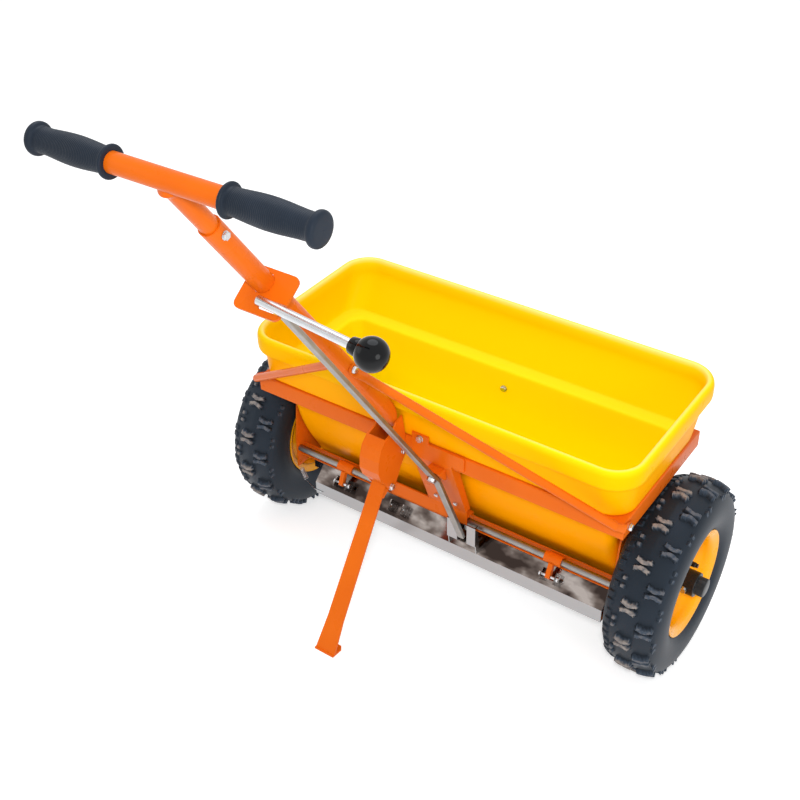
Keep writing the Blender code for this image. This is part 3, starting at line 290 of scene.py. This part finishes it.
# Camera, fitted in the machine frame: place, bearing, height angle and roll
view = {
    "place": (0.79765, -1.30432, 1.47705), "azimuth": 36.451, "elevation": 37.085, "roll": -1.948,
    "focalPixels": 1171.94, "imagePixels": 800.0, "centre": (391.1, 416.98), "sensor": 36.0,
}
azimuth, elevation, roll = (math.radians(view[key]) for key in ("azimuth", "elevation", "roll"))
right = Vector((math.cos(azimuth), math.sin(azimuth), 0.0))
back = Vector((math.sin(azimuth) * math.cos(elevation), -math.cos(azimuth) * math.cos(elevation),
               math.sin(elevation)))
above = back.cross(right)
rolledRight = right * math.cos(roll) + above * math.sin(roll)
rolledUp = above * math.cos(roll) - right * math.sin(roll)
aim = leanTurn @ Matrix((rolledRight, rolledUp, back)).transposed()
lens = bpy.data.cameras.new("camera")
lens.sensor_width = view["sensor"]
lens.lens = view["focalPixels"] * view["sensor"] / view["imagePixels"]
lens.shift_x = (view["imagePixels"] / 2.0 - view["centre"][0]) / view["imagePixels"]
lens.shift_y = (view["centre"][1] - view["imagePixels"] / 2.0) / view["imagePixels"]
camera = bpy.data.objects.new("camera", lens)
camera.matrix_world = Matrix.Translation(toWorld(view["place"])) @ aim.to_4x4()
bpy.context.scene.collection.objects.link(camera)
bpy.context.scene.camera = camera

# Studio: a small flash by the camera, a soft cool light overhead, two fills and a white surround
studio = {
    "middle": (0.0, 0.15, 0.3), "flashOffset": (0.0, 0.10, 0.05), "coolWhite": "F1F6FF",
    "surroundLight": 0.60, "surroundSeen": 1.0,
}


def areaLight(name, place, target, size, watts, tone="FFFFFF"):
    data = bpy.data.lights.new(name, "AREA")
    data.shape = "DISK"
    data.size = size
    data.energy = watts
    data.color = colour(tone)[:3]
    lamp = bpy.data.objects.new(name, data)
    lamp.location = place
    lamp.rotation_euler = (Vector(target) - Vector(place)).to_track_quat("-Z", "Y").to_euler()
    bpy.context.scene.collection.objects.link(lamp)
    return lamp


middle = studio["middle"]
flashPlace = camera.location + aim @ Vector(studio["flashOffset"])
# The flash lights surfaces but isn't mirrored in them; the weak glint is only mirrored
areaLight("flash", flashPlace, middle, size=0.16, watts=15.0).visible_glossy = False
areaLight("glint", flashPlace, middle, size=0.05, watts=0.45).visible_diffuse = False
areaLight("overheadSoft", (-0.3, 0.5, 2.9), middle, size=2.2, watts=32.0, tone=studio["coolWhite"])
areaLight("leftFill", (-2.6, -1.6, 1.5), middle, size=1.8, watts=6.0)
areaLight("rightFill", (2.6, -1.0, 1.1), (0.4, 0.25, 0.2), size=1.4, watts=17.0)

# The surround lights at one strength, and is seen and mirrored at full white
surround = bpy.data.worlds.new("surround")
bpy.context.scene.world = surround
surround.use_nodes = True
tree = surround.node_tree
background = tree.nodes["Background"]
background.inputs["Color"].default_value = grey(1.0)
ray = add(tree, "LightPath").outputs
mirrored = add(tree, "Math", {"operation": "MAXIMUM"},
               {0: ray["Is Glossy Ray"], 1: ray["Is Transmission Ray"]})
seen = add(tree, "Math", {"operation": "MAXIMUM"}, {0: ray["Is Camera Ray"], 1: mirrored.outputs[0]})
strength = add(tree, "MapRange", {"To Min": studio["surroundLight"], "To Max": studio["surroundSeen"]},
               {"Value": seen.outputs[0]})
tree.links.new(strength.outputs["Result"], background.inputs["Strength"])

# Floor: pale matt paper, which glows a little where it is seen or mirrored
floorLook = {"reach": 30.0, "tone": "F4F4F4", "roughness": 0.9, "glow": 0.45}
reach = floorLook["reach"]
floorMesh = bpy.data.meshes.new("floor")
floorMesh.from_pydata([(-reach, -reach, 0), (reach, -reach, 0), (reach, reach, 0), (-reach, reach, 0)],
                      [], [(0, 1, 2, 3)])
floor = bpy.data.objects.new("floor", floorMesh)
bpy.context.scene.collection.objects.link(floor)
paleFloor = newMaterial("paleFloor")
tree = paleFloor.node_tree
paper = add(tree, "BsdfPrincipled", {"Base Color": colour(floorLook["tone"]),
                                     "Roughness": floorLook["roughness"]})
ray = add(tree, "LightPath").outputs
seen = add(tree, "Math", {"operation": "MAXIMUM"}, {0: ray["Is Camera Ray"], 1: ray["Is Glossy Ray"]})
glowLevel = add(tree, "Math", {"operation": "MULTIPLY"}, {0: seen.outputs[0]})
glowLevel.inputs[1].default_value = floorLook["glow"]
glow = add(tree, "Emission", {"Color": grey(1.0)}, {"Strength": glowLevel.outputs[0]})
both = add(tree, "AddShader", {}, {0: paper.outputs["BSDF"], 1: glow.outputs["Emission"]})
add(tree, "OutputMaterial", {}, {"Surface": both.outputs["Shader"]})
floorMesh.materials.append(paleFloor)
bpy.context.scene.view_settings.view_transform = "Standard"
print("stage: studio set")


# One mesh from grids of points, each closed along its rows and its columns, with its faces out
def gridObject(name, grids, body, slotName, replaced, sharp, values=None, valueName="dust"):
    corners, faces, start = [], [], 0
    for points in grids:
        rows, columns = points.shape[:2]
        row, column = np.meshgrid(np.arange(rows), np.arange(columns), indexing="ij")
        nextRow, nextColumn = (row + 1) % rows, (column + 1) % columns
        quads = np.stack([row * columns + column, row * columns + nextColumn,
                          nextRow * columns + nextColumn, nextRow * columns + column], -1)
        faces += (quads.reshape(-1, 4) + start).tolist()
        corners.append(points.reshape(-1, 3))
        start += rows * columns
    mesh = bpy.data.meshes.new(name)
    mesh.from_pydata(toWorld(np.concatenate(corners)).tolist(), [], faces)
    if values is not None:
        layer = mesh.attributes.new(valueName, "FLOAT", "POINT")
        layer.data.foreach_set("value", np.asarray(values, np.float32).ravel())
    shell = bmesh.new()
    shell.from_mesh(mesh)
    bmesh.ops.recalc_face_normals(shell, faces=shell.faces)
    shell.to_mesh(mesh)
    shell.free()
    mesh.materials.append(finishes[slotName])
    mesh.shade_smooth()
    mesh.set_sharp_from_angle(angle=math.radians(sharp))
    thing = bpy.data.objects.new(name, mesh)
    bpy.context.scene.collection.objects.link(thing)
    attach(thing, body)
    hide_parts(*replaced)


# Profile of (along, radius) turned round a line: centre + along * ahead + radius * round. With
# sides, the radius runs along a polygon: r * cos(pi/n) / cos(angle within a side)
def turned(profile, centre, direction, segments, phase=0.0, sides=None):
    ahead = Vector(direction).normalized()
    side = ahead.orthogonal().normalized()
    ahead, side, third = np.array(ahead), np.array(side), np.array(ahead.cross(side))
    profile = np.asarray(profile, float)
    angle = phase + np.linspace(0.0, 2.0 * math.pi, segments, endpoint=False)[:, None, None]
    radius = profile[None, :, 1, None]
    if sides:
        within = np.mod(angle - phase, 2.0 * math.pi / sides) - math.pi / sides
        radius = radius * math.cos(math.pi / sides) / np.cos(within)
    return (np.asarray(centre, float) + profile[None, :, 0, None] * ahead
            + radius * (side * np.cos(angle) + third * np.sin(angle)))


# Corners cut at a quarter of each side, so that a bent line turns into a smooth one
def chaikin(points, times, closed):
    points = np.asarray(points, float)
    for _ in range(times):
        ahead = np.roll(points, -1, axis=0) if closed else points[1:]
        here = points if closed else points[:-1]
        cut = np.stack([0.75 * here + 0.25 * ahead, 0.25 * here + 0.75 * ahead], 1)
        cut = cut.reshape(-1, points.shape[1])
        points = cut if closed else np.concatenate([points[:1], cut, points[-1:]])
    return points


# Distance along a line of points, from its start
def lengthAlong(points):
    return np.concatenate([[0.0], np.cumsum(np.linalg.norm(np.diff(points, axis=0), axis=1))])


# Evenly spaced points along an open line
def resample(points, count):
    steps = lengthAlong(points)
    wanted = np.linspace(0.0, steps[-1], count)
    return np.stack([np.interp(wanted, steps, points[:, k]) for k in range(points.shape[1])], 1)


# 0 to 1 with no corner at either end: 3 v^2 - 2 v^3
def softStep(value):
    value = np.clip(value, 0.0, 1.0)
    return value * value * (3.0 - 2.0 * value)


# Radius at which a turned shape closes along its own axis
pole = 0.0001

# Hopper: rounded rectangles up the outside, over the rolled lip and down the inside. A row is
# height, half length, rear wall, front wall and corner radius
hopperLook = {
    "cornerSteps": 14, "smooth": 2, "sharp": 50.0,
    "rows": [
        (0.130, 0.3000, -0.0260, 0.0260, 0.004), (0.166, 0.3012, -0.0470, 0.0460, 0.010),
        (0.209, 0.3026, -0.0710, 0.0670, 0.014), (0.250, 0.3040, -0.0890, 0.0830, 0.018),
        (0.295, 0.3055, -0.1000, 0.0900, 0.021), (0.3525, 0.3070, -0.1090, 0.0960, 0.023),
        (0.3563, 0.3090, -0.1105, 0.0975, 0.024), (0.3563, 0.3325, -0.1330, 0.1200, 0.036),
        (0.3600, 0.3345, -0.1350, 0.1220, 0.038), (0.4095, 0.3362, -0.1420, 0.1570, 0.045),
        (0.4132, 0.3375, -0.1435, 0.1595, 0.046), (0.4138, 0.3430, -0.1495, 0.1675, 0.050),
        (0.4160, 0.3460, -0.1520, 0.1700, 0.052), (0.4340, 0.3460, -0.1520, 0.1700, 0.052),
        (0.4420, 0.3445, -0.1505, 0.1685, 0.050), (0.4465, 0.3405, -0.1465, 0.1645, 0.047),
        (0.4465, 0.3360, -0.1425, 0.1605, 0.043), (0.4415, 0.3332, -0.1396, 0.1575, 0.040),
        (0.4320, 0.3325, -0.1384, 0.1552, 0.040), (0.4140, 0.3325, -0.1384, 0.1540, 0.040),
        (0.3660, 0.3305, -0.1312, 0.1185, 0.034), (0.3602, 0.3280, -0.1288, 0.1165, 0.032),
        (0.3598, 0.3085, -0.1090, 0.0970, 0.022), (0.3550, 0.3040, -0.1056, 0.0928, 0.020),
        (0.295, 0.3020, -0.0962, 0.0862, 0.018), (0.250, 0.3005, -0.0853, 0.0793, 0.015),
        (0.209, 0.2991, -0.0670, 0.0630, 0.011), (0.166, 0.2977, -0.0430, 0.0420, 0.008),
        (0.130, 0.2965, -0.0222, 0.0222, 0.003),
    ],
}


# Four corner arcs a row: each arc's centre lies a radius in from both walls
def hopperPoints(rows, cornerSteps):
    quarter = np.linspace(0.0, math.pi / 2.0, cornerSteps)
    columns = []
    for signX, signY, turns in ((1, 1, 0.0), (-1, 1, 0.5), (-1, -1, 1.0), (1, -1, 1.5)):
        angle = quarter + turns * math.pi
        half, radius = rows[:, 1:2], rows[:, 4:5]
        wallY = rows[:, 3:4] if signY > 0 else rows[:, 2:3]
        x = signX * (half - radius) + radius * np.cos(angle)
        y = wallY - signY * radius + radius * np.sin(angle)
        columns.append(np.stack([x, y, np.repeat(rows[:, 0:1], len(angle), 1)], -1))
    return np.concatenate(columns, 1)


hopperRows = chaikin(hopperLook["rows"], hopperLook["smooth"], True)
shell = hopperPoints(hopperRows, hopperLook["cornerSteps"])
depth = np.repeat(np.linspace(0.0, 1.0, len(hopperRows))[:, None], shell.shape[1], 1)
gridObject("hopperShell", [shell], "frame", "hopper_yellow", ["hopper"], hopperLook["sharp"],
           depth, "depth")
print("stage: hopper made")

# Tyres: a carcass section turned round the axle, with lugs raised along its normals
tyreLook = {
    "pitches": 15, "perPitch": 48, "gather": 0.55, "across": 118, "inside": 14, "smooth": 3,
    "linerSmooth": 2, "sharp": 40.0,
    # Half the outside and the liner, as (along the axle, radius)
    "outline": [(-0.0350, 0.0771), (-0.0356, 0.0860), (-0.0462, 0.1000), (-0.0492, 0.1150),
                (-0.0490, 0.1270), (-0.0465, 0.1370), (-0.0425, 0.1450), (-0.0370, 0.1500),
                (-0.0200, 0.1553), (0.0, 0.1570)],
    "liner": [(0.0290, 0.0795), (0.0400, 0.1380), (-0.0400, 0.1380), (-0.0290, 0.0795)],
    "treadRadius": 0.157, "rowOffset": 0.0142, "shift": 0.0115, "edge": 0.0009,
    # The lug's four arms, how far they reach back past their start, and the groove that splits it
    "armFrom": (0.0037, 0.0), "armTo": (0.0072, 0.0105), "armHalf": 0.0036, "armEnd": 0.0016,
    "armBack": 0.004, "groove": 0.0006, "lugHeight": 0.0078,
    # Blocks further out: centre and half size, along the tread and across it
    "knob": (0.0066, 0.0325, 0.0034, 0.0036), "knobHeight": 0.0060,
    "betweenBlock": (0.0085, 0.0440, 0.0050, 0.0048), "besideBlock": (0.0070, 0.0480, 0.0048, 0.0060),
    "blockHeight": 0.0026, "lowBlock": (0.0, 0.0640, 0.0060, 0.0040), "lowHeight": 0.0008,
    # Where the pattern fades on the walls, and how far out it may reach
    "smoothFrom": 0.0400, "smoothOver": 0.0050, "mostAcross": 0.0512, "mostRadius": 0.1649,
    # Dust lies on what is nearly at full height, less of it on the knobs and on the right-hand row, whose
    # lower value gives its tops a painted blue-grey sheen
    "dustFrom": 0.6, "dustOver": 0.35, "knobDust": 0.8, "rightRowDustAndSheen": 0.5,
}


# Distance outside the cross-shaped lug: a square-ended bar folded into four, less the groove
def armDistance(along, across, look):
    a, b = np.abs(along), np.abs(across)
    fromPoint, toPoint = np.array(look["armFrom"]), np.array(look["armTo"])
    length = np.linalg.norm(toPoint - fromPoint)
    run = (toPoint - fromPoint) / length
    reach = (a - fromPoint[0]) * run[0] + (b - fromPoint[1]) * run[1]
    beside = np.abs((a - fromPoint[0]) * run[1] - (b - fromPoint[1]) * run[0])
    arm = np.maximum(beside - look["armHalf"], reach - length - look["armEnd"])
    return np.maximum(np.maximum(arm, -look["armBack"] - reach), look["groove"] - a)


# Distance outside a rectangle, the larger of the two ways past its sides
def blockDistance(along, across, centreAlong, centreAcross, halfAlong, halfAcross):
    return np.maximum(np.abs(along - centreAlong) - halfAlong, np.abs(across - centreAcross) - halfAcross)


# Section point + normal * lug height, turned round the axle. The rings gather at each lug's
# groove: share - gather * sin(4 pi share) / (4 pi) within a pitch
def tyrePoints(side, look):
    half = chaikin(look["outline"], look["smooth"], False)
    outer = np.concatenate([half, (half * (-1.0, 1.0))[::-1][1:]])
    outer = resample(outer, look["across"])
    inner = chaikin([outer[-1]] + look["liner"] + [outer[0]], look["linerSmooth"], False)
    inner = resample(inner, look["inside"])[1:-1]
    run = np.gradient(outer, axis=0)
    normal = np.stack([-run[:, 1], run[:, 0]], 1) / np.linalg.norm(run, axis=1)[:, None]
    arc = lengthAlong(outer)
    fromMiddle = (arc - arc[-1] / 2.0)[None, :]
    across = fromMiddle - look["shift"]
    share = np.arange(look["perPitch"]) / look["perPitch"]
    share = share - look["gather"] * np.sin(4.0 * math.pi * share) / (4.0 * math.pi)
    rings = look["pitches"] * look["perPitch"]
    turn = (np.arange(look["pitches"])[:, None] + share).reshape(-1, 1) * 2.0 * math.pi / look["pitches"]
    pitch = 2.0 * math.pi * look["treadRadius"] / look["pitches"]
    rolled = turn * look["treadRadius"]
    fade = softStep((look["smoothFrom"] - np.abs(fromMiddle)) / look["smoothOver"] + 1.0)
    height = np.zeros((rings, look["across"]))
    dust = np.zeros_like(height)
    for row, offset, strong in ((-1, 0.0, 1.0), (1, 0.5, look["rightRowDustAndSheen"])):
        along = np.abs(np.mod(rolled - offset * pitch + pitch / 2.0, pitch) - pitch / 2.0)
        between = np.abs(np.mod(rolled - offset * pitch, pitch) - pitch / 2.0)
        outward = across * row
        lug = armDistance(along, outward - look["rowOffset"], look)
        knob = blockDistance(between, outward, *look["knob"])
        block = np.minimum(blockDistance(between, outward, *look["betweenBlock"]),
                           blockDistance(along, outward, *look["besideBlock"]))
        low = blockDistance(along, outward, *look["lowBlock"])
        lug, knob, block, low = (softStep(0.5 - distance / look["edge"])
                                 for distance in (lug, knob, block, low))
        for tall, raised in (("lugHeight", lug), ("knobHeight", knob), ("blockHeight", block),
                             ("lowHeight", low)):
            height = np.maximum(height, look[tall] * raised)
        # The left row passes here twice, so it fades a little sooner
        height = height * fade
        # Dust on lug and knob tops; the right-hand row's lower weight paints a blue-grey sheen there
        for most, raised in ((1.0, lug), (look["knobDust"], knob)):
            cover = softStep((raised - look["dustFrom"]) / look["dustOver"])
            dust = np.maximum(dust, most * strong * cover)
    swell = outer[None, :, :] + normal[None, :, :] * height[:, :, None]
    swell[..., 0] = np.sign(swell[..., 0]) * np.minimum(np.abs(swell[..., 0]), look["mostAcross"])
    swell[..., 1] = np.minimum(swell[..., 1], look["mostRadius"])
    section = np.concatenate([swell, np.repeat(inner[None], rings, 0)], 1)
    dust = np.concatenate([dust, np.zeros((rings, len(inner)))], 1)
    lift = turn - stance["lean"]
    points = np.stack([side * stance["track"] + section[..., 0], section[..., 1] * np.cos(lift),
                       stance["axleHeight"] + section[..., 1] * np.sin(lift)], -1)
    return points, dust


for side, word, body in wheels:
    points, dust = tyrePoints(side, tyreLook)
    gridObject("tyreTread_" + word, [points], body, "tyre_black", ["tyre_" + word], tyreLook["sharp"],
               dust)
print("stage: tyres made")

# Rims: dished face with rolled flanges, and a dome on the machine's side, as (outwards, radius)
rimLook = {
    "face": [(0.0120, 0.0108), (0.0120, 0.0460), (0.0100, 0.0570), (0.0122, 0.0660), (0.0200, 0.0722),
             (0.0345, 0.0745), (0.0395, 0.0850), (0.0412, 0.0885), (0.0408, 0.0902), (0.0385, 0.0898),
             (0.0360, 0.0840), (0.0352, 0.0767), (-0.0352, 0.0767), (-0.0360, 0.0840),
             (-0.0385, 0.0898), (-0.0408, 0.0902), (-0.0412, 0.0885), (-0.0395, 0.0850),
             (-0.0345, 0.0745), (0.0140, 0.0745), (0.0100, 0.0680), (0.0080, 0.0570),
             (0.0098, 0.0460), (0.0098, 0.0108)],
    "dome": [(-0.0250, 0.0753), (-0.0310, 0.0590), (-0.0435, 0.0380), (-0.0465, 0.0108),
             (-0.0445, 0.0108), (-0.0415, 0.0370), (-0.0290, 0.0575), (-0.0225, 0.0753)],
    "smooth": 2, "segments": 120, "sharp": 60.0,
}
for side, word, body in wheels:
    centre = (side * stance["track"], 0.0, stance["axleHeight"])
    dishes = [turned(chaikin(rimLook[key], rimLook["smooth"], True), centre, (side, 0, 0),
                     rimLook["segments"]) for key in ("face", "dome")]
    gridObject("rimDish_" + word, dishes, body, "rim_yellow", ["rim_" + word], rimLook["sharp"])

# Handle: the tube's foot and slant, and the T-bar at its top
handleLook = {
    "x": -0.056, "barY": -0.5315, "tilt": math.radians(55.1), "foot": (-0.1842, 0.4464),
    "barOffset": 0.0050, "boltZ": 0.8543,
}
tilt, (footY, footZ) = handleLook["tilt"], handleLook["foot"]
barZ = footZ + (footY - handleLook["barY"]) * math.tan(tilt)
stemTop = np.array((handleLook["x"], handleLook["barY"], barZ))
barCentre = stemTop + np.array((handleLook["barOffset"], 0.0, 0.0))
upTube = np.array((0.0, -math.cos(tilt), math.sin(tilt)))
offTube = np.array((0.0, math.sin(tilt), math.cos(tilt)))


# The point of the handle tube's middle line at a height
def onHandle(z):
    return np.array((handleLook["x"], footY - (z - footZ) / math.tan(tilt), z))


# Grips: fine ribs between two rolled flanges. Rolls and necks are (along from the end, radius past
# the flange or the waist)
gripLook = {
    "inner": 0.0827, "outer": 0.205, "bore": 0.0129, "flange": 0.0197, "waist": 0.0150,
    "belly": 0.0024, "bellyPower": 1.3, "bellyStretch": 1.15, "bellyShift": 0.04,
    "ribPitch": 0.0024, "ribDepth": 0.00040, "ribFade": 14.0, "ribsFrom": 0.0075, "ribsTo": -0.0125,
    "samples": 520, "rollSmooth": 3, "segments": 72, "sharp": 60.0,
    "innerRoll": [(0.0, -0.0022), (0.0012, 0.0), (0.0038, 0.0), (0.0050, -0.0022)],
    "innerNeck": (0.0056, 0.0006), "outerNeck": (-0.0100, 0.0006),
    "outerRoll": [(-0.0092, -0.0022), (-0.0075, 0.0), (-0.0028, 0.0), (-0.0004, -0.0030)],
    "capRadius": 0.010, "capDepth": 0.0035, "capPole": 0.0005,
}


# Waist + belly * sine along the grip + fine ribs, with a rolled flange at each end
def gripProfile(look):
    inner, outer, waist, flange = (look[key] for key in ("inner", "outer", "waist", "flange"))
    along = np.linspace(inner + look["ribsFrom"], outer + look["ribsTo"], look["samples"])
    share = (along - along[0]) / (along[-1] - along[0])
    arch = np.clip(share * look["bellyStretch"] - look["bellyShift"], 0, 1)
    bulge = np.sin(math.pi * arch) ** look["bellyPower"]
    fade = softStep(np.minimum(share, 1.0 - share) * look["ribFade"])
    ribs = look["ribDepth"] * fade * np.abs(np.sin(math.pi * along / look["ribPitch"]))
    radius = waist + look["belly"] * bulge + ribs
    start = [(inner, look["bore"])] + [(inner + step, flange + more) for step, more in look["innerRoll"]]
    start += [(inner + look["innerNeck"][0], waist + look["innerNeck"][1]), (along[0], radius[0])]
    end = [(along[-1], radius[-1]), (outer + look["outerNeck"][0], waist + look["outerNeck"][1])]
    end += [(outer + step, flange + more) for step, more in look["outerRoll"]]
    end += [(outer, look["capRadius"]), (outer, look["capPole"])]
    cap = [(outer - look["capDepth"], look["capPole"]), (outer - look["capDepth"], look["bore"])]
    start, end = (chaikin(roll, look["rollSmooth"], False) for roll in (start, end))
    return np.concatenate([start, np.stack([along, radius], 1)[1:-1], end, cap])


for side, word, _ in wheels:
    grip = turned(gripProfile(gripLook), barCentre, (side, 0, 0), gripLook["segments"])
    gridObject("gripRibs_" + word, [grip], "frame", "grip_black", ["grip_" + word], gripLook["sharp"])
print("stage: rims and grips made")

# Control lever's cross rod and ball. Places on the guide plate are (across, off the tube)
leverLook = {
    "plateZ": 0.7531, "lift": 0.0124, "rodStart": (0.012, -0.0261), "ball": (0.1896, -0.0396),
    "rodRadius": 0.0063, "rodShort": 0.0085, "ballRadius": 0.0212, "ballFrom": math.radians(148.0),
    # Rod's rounded end as (along, under its radius), then the knob's hole and its neck
    "rodEnd": [(0.0, 0.0026), (0.0004, 0.0020), (0.0016, 0.0006), (0.0022, 0.0)],
    "hole": (-0.008, -0.0295), "holePlay": 0.0003,
    "neck": [(-0.0297, 0.0098), (-0.0288, 0.0105), (-0.0190, 0.0115)],
    "rodSegments": 64, "rodSharp": 30.0, "ballSegments": 96, "ballSteps": 60, "ballSharp": 40.0,
}
plateCentre = onHandle(leverLook["plateZ"])


def overPlate(place):
    return plateCentre + np.array((place[0], 0.0, 0.0)) + offTube * place[1] + upTube * leverLook["lift"]


rodFrom, ballCentre = overPlate(leverLook["rodStart"]), overPlate(leverLook["ball"])
rodRun = ballCentre - rodFrom
rodRadius, ballRadius = leverLook["rodRadius"], leverLook["ballRadius"]
rodEnd = np.linalg.norm(rodRun) - leverLook["rodShort"]
rod = [(0.0, pole)] + [(along, rodRadius - under) for along, under in leverLook["rodEnd"]]
rod += [(rodEnd, rodRadius), (rodEnd, pole)]
gridObject("crossRodTurned", [turned(rod, rodFrom, rodRun, leverLook["rodSegments"])],
           "lever", "zinc", ["cross_rod"], leverLook["rodSharp"])
holeEnd, holeMouth = leverLook["hole"]
holeRadius = rodRadius + leverLook["holePlay"]
sphere = np.linspace(leverLook["ballFrom"], 0.0, leverLook["ballSteps"])
knob = [(holeEnd, pole), (holeEnd, holeRadius), (holeMouth, holeRadius)] + leverLook["neck"]
knob += list(zip(ballRadius * np.cos(sphere), np.maximum(ballRadius * np.sin(sphere), pole)))
gridObject("ballSmooth", [turned(knob, ballCentre, rodRun, leverLook["ballSegments"])],
           "lever", "ball_black", ["ball_knob"], leverLook["ballSharp"])
print("stage: lever rod and ball made")

# Ring frame: one rounded angle section, as (inwards, up), led round the four sides
ringLook = {
    "half": 0.336, "rear": -0.1365, "front": 0.1235, "top": 0.356, "sharp": 50.0,
    "section": [(0.0, -0.0300), (0.0, -0.0295), (0.0, -0.0036), (0.0004, -0.0019), (0.0013, -0.0008),
                (0.0030, -0.0001), (0.0050, 0.0), (0.0250, 0.0), (0.0250, -0.0030), (0.0045, -0.0030),
                (0.0034, -0.0034), (0.0030, -0.0045), (0.0030, -0.0300)],
}
inset, rise = np.array(ringLook["section"]).T
ringCorners = []
for signX, signY in ((1, 1), (-1, 1), (-1, -1), (1, -1)):
    y = ringLook["front"] - inset if signY > 0 else ringLook["rear"] + inset
    ringCorners.append(np.stack([signX * (ringLook["half"] - inset), y, ringLook["top"] + rise], -1))
gridObject("ringRails", [np.array(ringCorners)], "frame", "frame_orange",
           ["ring_rail_rear", "ring_rail_front", "ring_rail_left", "ring_rail_right"], ringLook["sharp"])

# T-bar: the cross tube, and a stem with a weld at its top as (along from the tube's side, radius)
barLook = {
    "half": 0.2010, "radius": 0.0126, "bore": 0.0101, "stemBelowBolt": 0.030, "stemRadius": 0.0122,
    "weld": [(-0.0075, 0.0122), (-0.0045, 0.0128), (-0.0015, 0.0145), (0.0015, 0.0158)],
    "weldTop": [(-0.0060, 0.0120), (0.0, 0.0080)], "segments": 64, "sharp": 40.0,
}
barHalf, barRadius = barLook["half"], barLook["radius"]
stemEnd = onHandle(handleLook["boltZ"]) - upTube * barLook["stemBelowBolt"]
stemRun = stemTop - stemEnd
stemLength = np.linalg.norm(stemRun)
barLine = [(-barHalf, barLook["bore"]), (-barHalf, barRadius),
           (barHalf, barRadius), (barHalf, barLook["bore"])]
stemLine = [(0.0, pole), (0.0, barLook["stemRadius"])]
stemLine += [(stemLength - barRadius + along, radius) for along, radius in barLook["weld"]]
stemLine += [(stemLength + along, radius) for along, radius in barLook["weldTop"]] + [(stemLength, pole)]
gridObject("crossTube", [turned(barLine, barCentre, (1, 0, 0), barLook["segments"]),
                         turned(stemLine, stemEnd, stemRun, barLook["segments"])],
           "frame", "frame_orange", ["t_bar"], barLook["sharp"])

# Hex bolts: chamfered head and washer before the seat, a shank after it and a nut at a distance.
# Chamfers are shares of the head's radius and height
boltLook = {
    "shank": 0.003, "head": 0.0056, "height": 0.0038, "sides": 6, "headTurn": 0.4, "nutTurn": 0.7,
    "headChamfer": (0.80, 0.22), "nutChamfer": (0.82, 0.78), "headGap": 0.0006,
    "washer": (-0.0008, -0.0001), "washerReach": 1.02, "shankStart": -0.0005,
    "hexSegments": 60, "washerSegments": 40, "shankSegments": 32, "sharp": 30.0,
}


def boltPiece(name, seat, direction, length, nut=None, head=boltLook["head"], height=boltLook["height"]):
    shank, sides = boltLook["shank"], boltLook["sides"]
    top, under = boltLook["washer"]
    seat, direction = np.asarray(seat, float), np.asarray(direction, float)
    rim, step = boltLook["headChamfer"]
    hexagon = [(0.0, pole), (0.0, head * rim), (height * step, head), (height, head), (height, pole)]
    reach = head * boltLook["washerReach"]
    washer = [(top, shank), (top, reach), (under, reach), (under, shank)]
    start = boltLook["shankStart"]
    stick = [(start, pole), (start, shank), (length, shank), (length, pole)]
    shapes = [turned(hexagon, seat - direction * (height + boltLook["headGap"]), direction,
                     boltLook["hexSegments"], boltLook["headTurn"], sides),
              turned(washer, seat, direction, boltLook["washerSegments"]),
              turned(stick, seat, direction, boltLook["shankSegments"])]
    if nut is not None:
        rim, step = boltLook["nutChamfer"]
        hexagon = [(0.0, shank), (0.0, head), (height * step, head), (height, head * rim),
                   (height, shank)]
        shapes.append(turned(hexagon, seat + direction * nut, direction, boltLook["hexSegments"],
                             boltLook["nutTurn"], sides))
    gridObject("hex_" + name, shapes, "frame", "zinc", [name], boltLook["sharp"])


handleX = handleLook["x"]
toLeft, toRight, toFront = (-1, 0, 0), (1, 0, 0), (0, 1, 0)
boltPiece("handle_bolt", onHandle(handleLook["boltZ"]) + (0.0148, 0, 0), toLeft, length=0.033, nut=0.0298)
boltPiece("brace_bolt", onHandle(0.5487) + (0.0181, 0, 0), toLeft, length=0.040, nut=0.0364)
boltPiece("corner_bolt_left", (-0.3396, -0.1245, 0.3445), toRight, length=0.010, nut=0.0070)
boltPiece("corner_bolt_right", (0.3396, -0.1245, 0.3445), toLeft, length=0.010, nut=0.0070)
boltPiece("pivot_bracket_bolt", (-0.009, -0.1401, 0.3635), toFront, length=0.0085, head=0.0061,
          height=0.0044)
boltPiece("stand_pivot_bolt", (handleX + 0.0183, -0.1785, 0.2810), toLeft, length=0.040, nut=0.0367)
boltPiece("bracket_bolt", (handleX + 0.0183, -0.1447, 0.3312), toLeft, length=0.010, nut=0.0037)
boltPiece("hopper_bolt", (0.006, 0.0878, 0.327), toFront, length=0.020, nut=0.0105)
print("stage: ring, T-bar and bolts made")

# Hubs: stepped, with softened shoulders, as (outwards from the machine's middle, radius)
hubLook = {
    "shape": [(0.3783, 0.0104), (0.3783, 0.0192), (0.3790, 0.0200), (0.4110, 0.0200), (0.4120, 0.0192),
              (0.4122, 0.0154), (0.4130, 0.0152), (0.4235, 0.0151), (0.4252, 0.0146), (0.4260, 0.0130),
              (0.4260, pole), (0.4221, pole), (0.4221, 0.0104)],
    "segments": 96, "sharp": 30.0,
}
for side, word, body in wheels:
    hub = turned(hubLook["shape"], axleMachine, (side, 0, 0), hubLook["segments"])
    gridObject("hubStepped_" + word, [hub], body, "hub_black", ["hub_" + word], hubLook["sharp"])
print("stage: hubs made")
